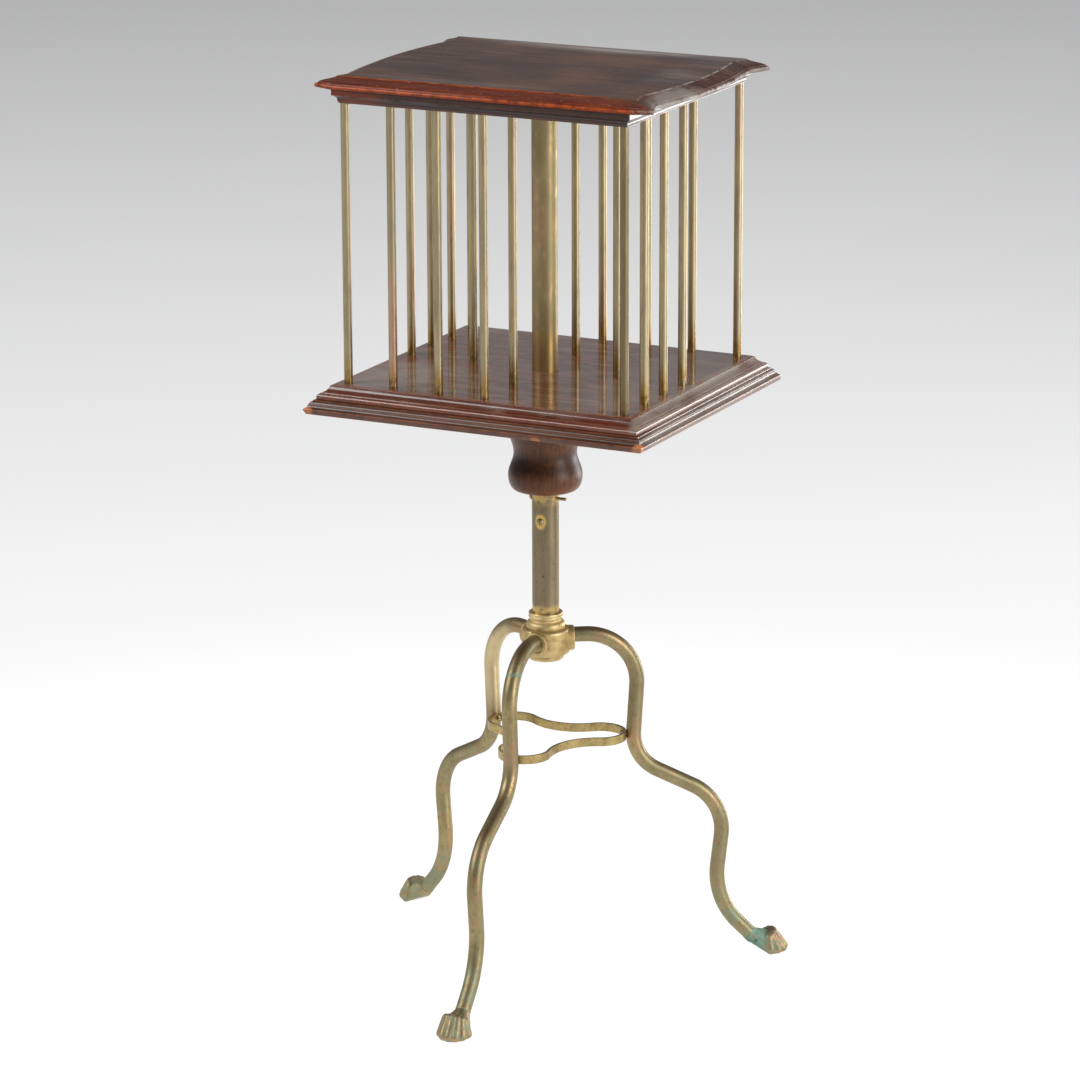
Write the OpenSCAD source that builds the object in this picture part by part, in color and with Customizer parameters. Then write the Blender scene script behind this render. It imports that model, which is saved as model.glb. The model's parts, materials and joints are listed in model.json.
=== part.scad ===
// Revolving bookstand: a mahogany and brass rod carousel that turns on a steel spindle over a brass tripod.
// Origin on the floor at the spindle's axis, +Z up, the front row of rods towards -Y.

/* [Carousel] */
// Distance between the corner rods' centres, left to right
cage_w = 280; // [220:5:340]
// Distance between the corner rods' centres, front to back
cage_d = 250; // [200:5:300]
// Clear height between the shelf and the top
cage_h = 261; // [180:1:330]
// Diameter of the brass rods
rod_d = 8; // [5:0.5:11]
// Depth of the rod sockets in the boards
rod_seat = 6; // [4:0.5:8]
// Diameter of the tenon that each corner rod carries through the shelf
tenon_d = 5; // [3:0.5:5]
// How far the corner tenons stand out under the shelf
tenon_out = 3; // [1:0.5:5]
// Outside diameter of the middle column
column_d = 24; // [20:0.5:30]
// Wall of the column tube
column_wall = 1.5; // [1:0.1:2.5]

/* [Boards] */
// Flat margin from the rod centres to the shelf's upper arris
shelf_margin = 10; // [8:1:20]
// Thickness of the shelf board
shelf_t = 13; // [11:0.5:18]
// Thickness of the moulded board under the shelf
base_t = 13; // [10:0.5:18]
// Thickness of the frieze board under the top
frieze_t = 12.5; // [11:0.5:16]
// How far the frieze stands in from the shelf's upper arris
frieze_in = 1; // [0:0.5:2.5]
// Thickness of the top board
top_t = 11; // [10:0.5:16]
// How far the top's bead stands out past the frieze at the front
top_over = 2; // [1:0.5:12]
// How far the top's corner ears stand out past the frieze at the sides
ear_over = 20.5; // [14:0.5:28]
// Bow of the top's serpentine sides
side_bow = 10; // [2:1:14]
// Length of each ear, from the bowed side to the canted corner
ear_l = 30; // [24:1:36]
// How far each ear flares out from the end of the bowed side
ear_flare = 9; // [4:0.5:12]
// Length of each canted corner along the top's upper arris
cant_l = 3; // [1:0.5:8]
// Angle between each canted corner and the front
cant_angle = 22; // [15:1:40]
// Width of the top's edge moulding
top_mould = 16; // [8:0.5:18]

/* [Boss and bearing] */
// Height of the turned boss below the shelf
boss_h = 88; // [74:2:110]
// Diameter of the boss at its bulge
boss_d = 70; // [60:1:80]
// Diameter of the boss at its waist
waist_d = 59.5; // [52:0.5:60]
// Diameter of the spigot that holds the boss in the board
spigot_d = 40; // [34:1:46]
// Diameter of the steel spindle
spindle_d = 12; // [10:0.5:14]
// Length of each bearing bush
bush_l = 36; // [24:2:44]
// Thickness of the thrust washer
washer_t = 1.5; // [1:0.1:3]

/* [Stand] */
// Outside diameter of the stem tube
stem_d = 25.4; // [25:0.2:30]
// Wall of the stem tube
stem_wall = 1.5; // [1:0.1:2.5]
// Length of stem showing between the hub and the boss
stem_l = 118; // [90:2:160]
// Length of the plug that holds the spindle in the stem
plug_l = 52; // [44:2:64]
// Diameter of the cross pin
pin_d = 3; // [2:0.5:4]
// Diameter of the stem's set screw
set_screw_d = 5; // [3:0.5:6]
// Diameter of the hub's body
hub_d = 45; // [44:1:50]
// Height of the hub's body
hub_h = 25; // [22:0.5:30]

/* [Legs] */
// Diameter of the round leg bar
leg_d = 14.5; // [10:0.5:15]
// Turn of the tripod under the carousel
leg_turn = -87; // [-110:1:-70]
// Radius from the axis at which the leg's tenon starts
leg_start = 16.5; // [16:0.5:18]
// Straight length out of the hub
leg_run = 21.5; // [18:0.5:36]
// Radius of the shoulder bend
shoulder_r = 49; // [38:1:58]
// Straight drop below the shoulder
leg_drop = 46; // [36:1:60]
// Radius of the knee bend
knee_r = 41.5; // [32:0.5:50]
// Straight length of the slanting shin
shin_run = 39; // [30:1:56]
// Radius of the calf bend
calf_r = 51.5; // [40:0.5:60]
// Straight length of the lower leg
lower_run = 30; // [22:1:42]
// Radius of the ankle bend
ankle_r = 73; // [60:1:84]
// Straight length above the foot
ankle_run = 16; // [10:1:24]
// Height of the leg's axis where it meets the foot
ankle_z = 19.3; // [18:0.1:24]
// Diameter of the tenon that each leg carries into its foot
foot_tenon_d = 8; // [6:0.5:9]
// Length of that tenon
foot_tenon_l = 12; // [10:0.5:13]

/* [Stretcher] */
// Height of the stretcher strip
strip_h = 8; // [6:0.5:10]
// Thickness of the stretcher strip
strip_t = 2.6; // [2:0.2:3.4]
// Radius of the lobe at each leg, to the strip's middle
lobe_r = 23.5; // [20:0.5:26]
// Radius from the axis to the strip half way between two legs
waist_r = 33.5; // [28:0.5:38]

/* [Fixings] */
// Diameter of the wood screws
wood_screw_d = 4; // [3:0.5:4.5]
// Diameter of the screws that hold the stretcher and the legs
metal_screw_d = 4; // [3:0.5:5]
// Radial clearance of pieces that seat in each other
seat_gap = 0.05; // [0.02:0.01:0.1]
// Radial clearance of the spindle in its bushes
run_gap = 0.05; // [0.03:0.01:0.1]
// Gap between faces that pass each other as the carousel turns
face_gap = 0.3; // [0.2:0.1:0.6]

/* [Hidden] */
$fn = 64;
rod_rows = ["front", "right", "back", "left"];
rods_in_row = 4;
row_gaps = 6;
leg_names = ["front", "right", "left"];
leg_count = len(leg_names);

// How far, and by how much thinner, the leg's straights run into its bends
weld_l = 0.5;
weld_step = 0.03;

// Angles of the leg's bends, each from the level, as the bar runs outwards and down
shoulder_heading = -93.5;
shin_heading = -27;
lower_heading = -96.5;
ankle_heading = -46;

// Each leg's stretches: turn, bend radius and the straight that follows it
leg_steps = [
    [0, 1, leg_run],
    [shoulder_heading, shoulder_r, leg_drop],
    [shin_heading - shoulder_heading, knee_r, shin_run],
    [lower_heading - shin_heading, calf_r, lower_run],
    [ankle_heading - lower_heading, ankle_r, ankle_run]
];

// End of a bend of the given turn and radius that starts at p along heading h
function bend_end(p, h, turn, r) =
    let (s = sign(turn))
    p + s * r * [sin(h + turn) - sin(h), cos(h) - cos(h + turn)];

function straight_end(p, h, l) = p + l * [cos(h), sin(h)];

// Heights are kept to a hundredth, so faces that touch lie in one plane
function snap(x) = round(100 * x) / 100;

// Start point and heading of each stretch, worked along the leg
function leg_path(steps, p = [0, 0], h = 0, i = 0) =
    i == len(steps) ? [[p, h]] :
    let (
        turn = steps[i][0],
        q = turn == 0 ? p : bend_end(p, h, turn, steps[i][1]),
        e = straight_end(q, h + turn, steps[i][2])
    )
    concat([[p, h, q]], leg_path(steps, e, h + turn, i + 1));

leg_points = leg_path(leg_steps);
leg_fall = -leg_points[len(leg_steps)][0][1];
leg_reach = leg_start + leg_points[len(leg_steps)][0][0];
leg_z = snap(ankle_z + leg_fall);
foot_z = leg_z - leg_fall;

// The stretcher meets each leg where the knee bend stands upright, level with the bend's centre
knee_p = leg_points[2][0];
knee_h = leg_points[2][1];
stretcher_z = snap(leg_z + knee_p[1] + knee_r * cos(knee_h));
leg_side_r = leg_start + knee_p[0] - knee_r * sin(knee_h) - knee_r;

// Heights of the stand
hub_z = leg_z - 16;
hub_top = hub_z + hub_h;
collar_z = hub_top + 15;
cap_h = 6.5;
cap_d = 34.7;
cap_spigot_d = 20;
cap_spigot_h = 8;
stem_seat_z = hub_z + cap_spigot_h;
stem_top = collar_z + stem_l;
stem_bore = stem_d - 2 * stem_wall;
plug_z = stem_top - plug_l;
cross_pin_z = stem_top - 7;
set_screw_z = stem_top - 28;
washer_d = stem_d + 1;

// Heights of the carousel
boss_z = stem_top + washer_t + face_gap;
base_z = boss_z + boss_h;
shelf_z = base_z + base_t;
shelf_top = shelf_z + shelf_t;
frieze_z = shelf_top + cage_h;
top_z = frieze_z + frieze_t;
column_bore = column_d - 2 * column_wall;
spindle_z = plug_z + 2;
spindle_top = frieze_z - 12;
bush_d = 22;
upper_bush_z = spindle_top - bush_l - 6;

// Half sizes of the boards
shelf_x = cage_w / 2 + shelf_margin;
shelf_y = cage_d / 2 + shelf_margin;
frieze_x = shelf_x - frieze_in;
frieze_y = shelf_y - frieze_in;
ear_x = frieze_x + ear_over;
top_y = frieze_y + top_over;
frieze_lip = shelf_margin - frieze_in - rod_d / 2 - seat_gap - 0.15;

// Inner rods stand a little past half way from the axis to the rows
inner_share = 0.53;
inner_x = inner_share * cage_w / 2;
inner_y = inner_share * cage_d / 2;

// Screws of the boards
screw_head_d = 2 * wood_screw_d;
screw_bite = 6;
screw_x = cage_w / 2 - 28;
screw_y = cage_d / 2 - 24;
screw_places = [for (i = [-1, 0, 1], j = [-1, 0, 1]) if (i != 0 || j != 0) [i * screw_x, j * screw_y]];

// Stretcher: each lobe's middle, and the bend between two lobes
lobe_c = leg_side_r - leg_d / 2 - seat_gap - strip_t / 2 - lobe_r;
link_c = (lobe_c * lobe_c - (lobe_r - waist_r) * (lobe_r - waist_r)) / (lobe_c + 2 * lobe_r - 2 * waist_r);
link_r = link_c - waist_r;
link_half = acos((pow(link_c, 2) + pow(lobe_r + link_r, 2) - pow(lobe_c, 2)) / (2 * link_c * (lobe_r + link_r)));
lobe_half = 60 + link_half;
lap = 0.4;
screw_grip = 9;

// Place of rod i, from 0, in a row; the rows go round the cage like a pinwheel
function rod_at(row, i) =
    let (s = i / row_gaps - 0.5)
    row == "front" ? [s * cage_w, -cage_d / 2] :
    row == "right" ? [cage_w / 2, s * cage_d] :
    row == "back" ? [-s * cage_w, cage_d / 2] : [-cage_w / 2, -s * cage_d];

function inner_rod_at(row) =
    row == "front" ? [0, -inner_y] :
    row == "right" ? [inner_x, 0] :
    row == "back" ? [0, inner_y] : [-inner_x, 0];

rod_places = concat(
    [for (r = rod_rows, i = [0:rods_in_row - 1]) rod_at(r, i)],
    [for (r = rod_rows) inner_rod_at(r)]
);
corner_places = [for (r = rod_rows) rod_at(r, 0)];

module ring(outer, inner, h) {
    difference() {
        cylinder(d = outer, h = h);
        translate([0, 0, -1]) cylinder(d = inner, h = h + 2);
    }
}

// A round bar or hole that points along +X from x0
module along_x(d, x0, l) {
    translate([x0, 0, 0]) rotate([0, 90, 0]) cylinder(d = d, h = l);
}

// Turns its children to leg number i
module at_leg(i) {
    rotate([0, 0, leg_turn + i * 360 / leg_count]) children();
}

// Rectangular board whose edge follows a profile of [stand-out, height] points, mitred at the corners
module moulded_board(half_x, half_y, profile) {
    long = 3 * (half_x + half_y);
    n = len(profile);
    intersection() {
        rotate([90, 0, 0]) linear_extrude(long, center = true)
            polygon(concat([for (p = profile) [half_x + p[0], p[1]]],
                           [for (i = [1:n]) [-half_x - profile[n - i][0], profile[n - i][1]]]));
        rotate([90, 0, 90]) linear_extrude(long, center = true)
            polygon(concat([for (p = profile) [half_y + p[0], p[1]]],
                           [for (i = [1:n]) [-half_y - profile[n - i][0], profile[n - i][1]]]));
    }
}

// Points of a moulding from p up to q in n steps, hollow by sag, or rounded where sag is negative
function moulding(p, q, sag, n) =
    let (d = q - p, out = [d[1], -d[0]] / norm(d))
    [for (i = [0:n]) p + d * i / n - out * sag * sin(180 * i / n)];

// Countersunk wood screw that points up from z = 0
module wood_screw(l) {
    difference() {
        union() {
            cylinder(d1 = screw_head_d, d2 = wood_screw_d, h = wood_screw_d / 2);
            cylinder(d = wood_screw_d, h = l);
        }
        translate([-screw_head_d, -0.5, -1]) cube([2 * screw_head_d, 1, 2]);
    }
}

// The hole for that screw, with its countersink at z = 0
module screw_hole(l) {
    translate([0, 0, -1]) cylinder(d = wood_screw_d + 2 * seat_gap, h = l + 1 + seat_gap);
    cylinder(d1 = screw_head_d + 4 * seat_gap, d2 = wood_screw_d + 2 * seat_gap, h = wood_screw_d / 2 + seat_gap);
    translate([0, 0, -1]) cylinder(d = screw_head_d + 4 * seat_gap, h = 1);
}

// Cast brass hub with flat-faced leg bosses and a turned collar
hub_boss_d = hub_h - 1;
hub_boss_out = hub_d / 2 + 4;
module hub() {
    neck_r = stem_d / 2 + 1.9;
    color("#b59a5a")
    difference() {
        union() {
            translate([0, 0, hub_z]) rotate_extrude()
                polygon([
                    [0, 0], [hub_d / 2 - 1.5, 0], [hub_d / 2, 1.5], [hub_d / 2, hub_h - 3],
                    [hub_d / 2 - 1, hub_h - 1.2], [hub_d / 2 - 3, hub_h],
                    [neck_r + 3.4, hub_h + 0.4], [neck_r + 3.8, hub_h + 2], [neck_r + 3.6, hub_h + 4],
                    [neck_r + 2.4, hub_h + 5.6], [neck_r + 0.6, hub_h + 6.6], [neck_r, hub_h + 8],
                    [neck_r + 0.2, hub_h + 9.2], [neck_r + 1.4, hub_h + 9.8], [neck_r + 1.7, hub_h + 11.5],
                    [neck_r + 1.4, hub_h + 15], [0, hub_h + 15]
                ]);
            for (i = [0:leg_count - 1]) at_leg(i)
                translate([0, 0, hub_z + hub_h - hub_boss_d / 2]) along_x(hub_boss_d, 0, hub_boss_out);
        }
        translate([0, 0, hub_z - 4]) cylinder(d = cap_spigot_d + 2 * seat_gap, h = 20);
        translate([0, 0, stem_seat_z]) cylinder(d = stem_d + 2 * seat_gap, h = 100);
        for (i = [0:leg_count - 1]) at_leg(i) {
            translate([0, 0, leg_z]) along_x(leg_d + 2 * seat_gap, leg_start - 0.1, 30);
            translate([leg_start + 5, 0, hub_z - 8])
                cylinder(d = metal_screw_d + 2 * seat_gap, h = 20);
        }
    }
}

module hub_cap() {
    color("#a88d50")
    translate([0, 0, hub_z - cap_h]) {
        rotate_extrude() polygon([
            [0, 0], [cap_d / 2 - 2.5, 0], [cap_d / 2 - 0.6, 1], [cap_d / 2, 3],
            [cap_d / 2, cap_h], [0, cap_h]
        ]);
        translate([0, 0, cap_h - 1]) cylinder(d = cap_spigot_d, h = cap_spigot_h + 1 - seat_gap);
    }
}

module stem_tube() {
    color("#7d725a")
    difference() {
        translate([0, 0, stem_seat_z]) ring(stem_d, stem_bore, stem_top - stem_seat_z);
        translate([0, 0, cross_pin_z]) rotate([0, 0, leg_turn - 90])
            along_x(pin_d + 2 * seat_gap, -stem_d, 2 * stem_d);
        translate([0, 0, set_screw_z]) rotate([0, 0, leg_turn])
            along_x(set_screw_d + 2 * seat_gap, 2, stem_d);
    }
}

module stem_plug() {
    color("#a08b58")
    difference() {
        translate([0, 0, plug_z]) cylinder(d = stem_bore - 2 * seat_gap, h = plug_l);
        translate([0, 0, spindle_z]) cylinder(d = spindle_d + 2 * seat_gap, h = plug_l);
        translate([0, 0, cross_pin_z]) rotate([0, 0, leg_turn - 90])
            along_x(pin_d + 2 * seat_gap, -stem_d, 2 * stem_d);
        translate([0, 0, set_screw_z]) rotate([0, 0, leg_turn])
            along_x(set_screw_d + 2 * seat_gap, spindle_d / 2 + 1, stem_d);
    }
}

module spindle() {
    color("#8c8f92")
    difference() {
        union() {
            translate([0, 0, spindle_z]) cylinder(d = spindle_d, h = spindle_top - spindle_z - 2);
            translate([0, 0, spindle_top - 2]) cylinder(d1 = spindle_d, d2 = spindle_d - 4, h = 2);
        }
        translate([0, 0, cross_pin_z]) rotate([0, 0, leg_turn - 90])
            along_x(pin_d + 2 * seat_gap, -stem_d, 2 * stem_d);
    }
}

// Pin with a round head that ties the stem, plug and spindle together
pin_head_d = 7.6;
pin_head_t = 2.4;
pin_tip = 8.5;
module cross_pin() {
    color("#6f6650")
    translate([0, 0, cross_pin_z]) rotate([0, 0, leg_turn - 90]) {
        along_x(pin_d, -stem_d / 2 - pin_tip, stem_d + pin_tip + 1);
        translate([stem_d / 2 + seat_gap, 0, 0]) rotate([0, 90, 0])
            cylinder(d1 = pin_head_d, d2 = pin_head_d - 1.4, h = pin_head_t);
    }
}

module stem_set_screw() {
    color("#c2a45c")
    translate([0, 0, set_screw_z]) rotate([0, 0, leg_turn])
    difference() {
        union() {
            along_x(set_screw_d, spindle_d / 2 + 1.2, (stem_d - spindle_d) / 2);
            translate([stem_d / 2 + seat_gap, 0, 0]) rotate([0, 90, 0])
                cylinder(d1 = set_screw_d + 2, d2 = set_screw_d, h = 1.3);
        }
        translate([stem_d / 2 + 0.7, -0.5, -stem_d]) cube([2, 1, 2 * stem_d]);
    }
}

module thrust_washer() {
    color("#c9b172")
    translate([0, 0, stem_top]) ring(washer_d, spindle_d + 2 * seat_gap, washer_t);
}

// Puts its children on the leg's lower end, +Z along the leg; x is measured from the leg's start
module at_leg_end() {
    translate([leg_reach - leg_start, 0, foot_z - leg_z]) rotate([0, 90 - ankle_heading, 0]) children();
}

// Bar of one leg in the plane y = 0, its tenon starting at leg_start.
// Each straight runs a little way into the bends and is a hair thinner, so the two always join.
module leg_bar() {
    for (i = [0:len(leg_steps) - 1]) {
        turn = leg_steps[i][0];
        r = leg_steps[i][1];
        p = leg_points[i][0];
        h = leg_points[i][1];
        q = leg_points[i][2];
        s = sign(turn);
        if (turn != 0) {
            c = p + s * r * [-sin(h), cos(h)];
            translate([c[0], 0, c[1]]) rotate([90, 0, 0])
                rotate([0, 0, h - s * 90 + (s < 0 ? turn : 0)])
                    rotate_extrude(angle = abs(turn), $fn = 96) translate([r, 0]) circle(d = leg_d);
        }
        into_start = i == 0 ? 0 : weld_l;
        into_end = i == len(leg_steps) - 1 ? 0 : weld_l;
        translate([q[0], 0, q[1]]) rotate([0, 90 - h - turn, 0]) translate([0, 0, -into_start])
            cylinder(d = leg_d - 2 * weld_step, h = leg_steps[i][2] + into_start + into_end);
    }
    at_leg_end() translate([0, 0, -2]) cylinder(d = foot_tenon_d, h = foot_tenon_l + 2);
}

module leg(i) {
    color("#877a55")
    at_leg(i) difference() {
        translate([leg_start, 0, leg_z]) leg_bar();
        translate([leg_start + 5, 0, leg_z - leg_d])
            cylinder(d = metal_screw_d + 2 * seat_gap, h = leg_d - 3);
        translate([0, 0, stretcher_z])
            along_x(metal_screw_d + 2 * seat_gap, leg_side_r - leg_d, leg_d + screw_grip - leg_d / 2);
        foot_pin_hole();
    }
}

// Foot: a neck that takes the leg's tenon, and a fluted paw whose toes fan out from a point in front of it
neck_d = leg_d + 0.4;
neck_l = 5;
paw_r = leg_reach + 18;
toe_count = 7;
toe_fan = 84;
toe_d = 9.5;
toe_top_z = 18.6;
foot_pin_d = 2.5;
foot_pin_at = 8.5;

module at_foot() {
    translate([leg_reach, 0, foot_z]) rotate([0, 90 - ankle_heading, 0]) children();
}

module foot_pin_hole() {
    at_foot() translate([0, 0, foot_pin_at]) rotate([90, 0, 0])
        cylinder(d = foot_pin_d + 2 * seat_gap, h = 3 * leg_d, center = true);
}

// One toe, or the body behind it where d is smaller. The floor cuts its sole flat.
module toe(a, d, top) {
    hull() {
        translate([paw_r + 5.5 * cos(a), 9 * sin(a), top - 3.5 * (1 - cos(a))]) sphere(d = d, $fn = 16);
        translate([paw_r + 16 * cos(a), 12.5 * sin(a), 0.46 * d]) sphere(d = d, $fn = 16);
    }
}

module foot(i) {
    color("#9a6f45")
    at_leg(i) difference() {
        union() {
            at_foot() translate([0, 0, seat_gap]) cylinder(d = neck_d, h = neck_l);
            hull() {
                at_foot() translate([0, 0, neck_l - 1]) sphere(d = neck_d - 0.6, $fn = 24);
                for (k = [0:toe_count - 1]) toe(toe_fan * (2 * k / (toe_count - 1) - 1), toe_d - 2, toe_top_z - 3);
            }
            for (k = [0:toe_count - 1]) toe(toe_fan * (2 * k / (toe_count - 1) - 1), toe_d, toe_top_z);
        }
        at_foot() translate([0, 0, -2]) cylinder(d = foot_tenon_d + 2 * seat_gap, h = foot_tenon_l + 2 + seat_gap);
        at_foot() translate([0, 0, seat_gap - leg_d]) cylinder(d = 2 * leg_d, h = leg_d);
        translate([leg_reach - 60, -60, -40]) cube([140, 120, 40]);
        foot_pin_hole();
    }
}

module foot_pins() {
    color("#6f6650")
    for (i = [0:leg_count - 1]) at_leg(i) at_foot() translate([0, 0, foot_pin_at]) rotate([90, 0, 0])
        cylinder(d = foot_pin_d, h = neck_d - 0.6, center = true);
}

module leg_grub_screws() {
    color("#6f6650")
    for (i = [0:leg_count - 1]) at_leg(i)
        translate([leg_start + 5, 0, hub_z + 2]) difference() {
            cylinder(d = metal_screw_d, h = leg_z - hub_z - 2 - 3.5);
            translate([-metal_screw_d, -0.4, -1]) cube([2 * metal_screw_d, 0.8, 2]);
        }
}

// Flat strip on edge, bent to a closed trefoil. The links are a hair thinner and lap into the lobes.
module strip_arc(r, t, from, to) {
    rotate([0, 0, from]) rotate_extrude(angle = to - from, $fn = 128)
        translate([r - t / 2, -strip_h / 2]) square([t, strip_h]);
}

module stretcher() {
    color("#b09a62")
    translate([0, 0, stretcher_z]) difference() {
        for (i = [0:leg_count - 1]) at_leg(i) {
            translate([lobe_c, 0, 0]) strip_arc(lobe_r, strip_t, -lobe_half, lobe_half);
            rotate([0, 0, 60]) translate([link_c, 0, 0])
                strip_arc(link_r, strip_t - 2 * weld_step, 180 - link_half - lap, 180 + link_half + lap);
        }
        for (i = [0:leg_count - 1]) at_leg(i)
            along_x(metal_screw_d + 2 * seat_gap, lobe_c + 4, lobe_r);
    }
}

module stretcher_screws() {
    color("#6f6650")
    for (i = [0:leg_count - 1]) at_leg(i) translate([0, 0, stretcher_z]) {
        head_x = lobe_c + lobe_r - strip_t / 2 - 0.3;
        difference() {
            union() {
                along_x(metal_screw_d, head_x - 1, strip_t + screw_grip);
                translate([head_x - 2.4, 0, 0]) rotate([0, 90, 0]) cylinder(d1 = 5.4, d2 = 7, h = 2.4);
            }
            translate([head_x - 4, -0.5, -5]) cube([2.6, 1, 10]);
        }
    }
}

// Turned boss: hollow neck, bulge and rounded foot, with a spigot into the board above
module turned_boss() {
    sole_r = boss_d / 2 - 7;
    color("#4a2a1c")
    translate([0, 0, boss_z]) difference() {
        union() {
            rotate_extrude(convexity = 4) polygon(concat(
                [[0, 0], [sole_r, 0]],
                [for (t = [0:15:90]) [sole_r + (boss_d / 2 - sole_r) * sin(t), 14 * (1 - cos(t))]],
                [for (t = [15:15:180]) [waist_d / 2 + (boss_d - waist_d) / 4 * (1 + cos(t)), 14 + 21.5 * t / 180]],
                [for (t = [20:20:180])
                    [waist_d / 2 + (boss_d / 2 + 2 - waist_d / 2) * (1 - cos(t)) / 2, 35.5 + (boss_h - 59) * t / 180]],
                [[boss_d / 2 + 2, boss_h - 21], [boss_d / 2 + 3.5, boss_h - 20], [boss_d / 2 + 4, boss_h - 17],
                 [boss_d / 2 + 4, boss_h], [0, boss_h]]
            ));
            translate([0, 0, boss_h - 1]) cylinder(d = spigot_d, h = base_t + 1 - seat_gap);
        }
        translate([0, 0, -1]) cylinder(d = bush_d + 2 * seat_gap, h = bush_l + 1 + seat_gap);
        cylinder(d = spindle_d + 2, h = 2 * boss_h);
    }
}

module lower_bush() {
    color("#c9b172")
    translate([0, 0, boss_z]) ring(bush_d, spindle_d + 2 * run_gap, bush_l);
}

module upper_bush() {
    color("#c9b172")
    translate([0, 0, upper_bush_z]) ring(column_bore - 2 * seat_gap, spindle_d + 2 * run_gap, bush_l);
}

module column_tube() {
    color("#9a8a5c")
    translate([0, 0, shelf_top - rod_seat]) ring(column_d, column_bore, cage_h + 2 * rod_seat);
}

module rod(place, corner) {
    color("#9a8f6a")
    translate([place[0], place[1], shelf_top - rod_seat]) {
        cylinder(d = rod_d, h = cage_h + 2 * rod_seat, $fn = 32);
        if (corner) translate([0, 0, rod_seat - shelf_t - base_t - tenon_out])
            cylinder(d = tenon_d, h = shelf_t + base_t + tenon_out - rod_seat + 1, $fn = 32);
    }
}

module shelf_base_board() {
    color("#57301f")
    difference() {
        translate([0, 0, base_z]) moulded_board(shelf_x, shelf_y, concat(
            [[20.8, 0], [21.4, 0.8], [21.4, 5]],
            moulding([21.2, 5.6], [14.4, base_t - 0.8], -0.8, 5),
            [[13.2, base_t]]
        ));
        translate([0, 0, base_z - 1]) cylinder(d = spigot_d + 2 * seat_gap, h = base_t + 2);
        for (p = corner_places) translate([p[0], p[1], base_z - 1])
            cylinder(d = tenon_d + 2 * seat_gap, h = base_t + 2);
        for (p = screw_places) translate([p[0], p[1], base_z]) screw_hole(base_t + screw_bite);
    }
}

module shelf_board() {
    color("#57301f")
    difference() {
        translate([0, 0, shelf_z]) moulded_board(shelf_x, shelf_y, concat(
            [[12, 0], [12, 4]],
            moulding([11.4, 4.6], [3, shelf_t - 0.8], 0.9, 5),
            [[0.6, shelf_t - 0.5], [0, shelf_t]]
        ));
        translate([0, 0, shelf_z - 1]) cylinder(d = spindle_d + 2, h = shelf_t + 2);
        translate([0, 0, shelf_top - rod_seat]) cylinder(d = column_d + 2 * seat_gap, h = rod_seat + 1);
        for (p = rod_places) translate([p[0], p[1], shelf_top - rod_seat])
            cylinder(d = rod_d + 2 * seat_gap, h = rod_seat + 1);
        for (p = corner_places) translate([p[0], p[1], shelf_z - 1])
            cylinder(d = tenon_d + 2 * seat_gap, h = shelf_t + 2);
        for (p = screw_places) translate([p[0], p[1], base_z]) screw_hole(base_t + screw_bite);
    }
}

module shelf_screws() {
    color("#8c8f92")
    for (p = screw_places) translate([p[0], p[1], base_z + seat_gap]) wood_screw(base_t + screw_bite - 2 * seat_gap);
}

module frieze_board() {
    color("#4a2a1c")
    difference() {
        translate([0, 0, frieze_z]) moulded_board(frieze_x, frieze_y, concat(
            [[-frieze_lip, 0], [-frieze_lip, 1]],
            moulding([0.3 - frieze_lip, 1.6], [-1.2, 7], 0.8, 4),
            [[0, 7.2], [0, frieze_t]]
        ));
        translate([0, 0, frieze_z - 1]) cylinder(d = column_d + 2 * seat_gap, h = rod_seat + 1);
        for (p = rod_places) translate([p[0], p[1], frieze_z - 1])
            cylinder(d = rod_d + 2 * seat_gap, h = rod_seat + 1);
        for (p = screw_places) translate([p[0], p[1], frieze_z]) screw_hole(frieze_t + screw_bite);
    }
}

module top_screws() {
    color("#8c8f92")
    for (p = screw_places) translate([p[0], p[1], frieze_z + seat_gap]) wood_screw(frieze_t + screw_bite - 2 * seat_gap);
}

// Quarter of the top's plan: bowed side, flared ear, cant, straight front.
// The moulding is drawn in square to each edge, so the cant is longer at the bead than at the arris.
flare_steps = [[0.12, 0.04], [0.3, 0.15], [1, 1]];
flare_angle = atan(0.85 * ear_flare / (0.7 * ear_l));
outer_cant = cant_l + top_mould * (tan(cant_angle / 2) + tan((90 - cant_angle + flare_angle) / 2));
cant_y = top_y - outer_cant * sin(cant_angle);
bow_y = cant_y - ear_l;
bow_x = ear_x - ear_flare;
bow_steps = 8;
function top_quarter() = concat(
    [for (i = [0:bow_steps]) let (t = i / bow_steps) [bow_x + side_bow * (1 - t * t), bow_y * t]],
    [for (t = flare_steps) [bow_x + ear_flare * t[1], bow_y + ear_l * t[0]]],
    [[ear_x - outer_cant * cos(cant_angle), top_y]]
);

function top_outline() =
    let (q = top_quarter(), n = len(q))
    concat(
        q,
        [for (i = [1:n]) [-q[n - i][0], q[n - i][1]]],
        [for (i = [1:n - 1]) [-q[i][0], -q[i][1]]],
        [for (i = [1:n - 1]) [q[n - i][0], -q[n - i][1]]]
    );

// The top's edge as [height, how far the plan is drawn in]: a bead, then an ogee up to the arris
top_bead = 5.2;
ogee_steps = 6;
top_edge = concat(
    [[0, 1], [1, 0], [top_bead - 1.2, 0], [top_bead, 1]],
    [for (i = [0:ogee_steps]) let (t = i / ogee_steps)
        [snap(top_bead + 0.5 + (top_t - top_bead - 0.5) * t), 2 + (top_mould - 2) * (1 - cos(180 * t)) / 2]]
);

// Outward normal of the plan's edge that starts at point i
function plan_normal(plan, i) =
    let (n = len(plan), d = plan[(i + 1) % n] - plan[(i + n) % n])
    [d[1], -d[0]] / norm(d);

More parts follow.
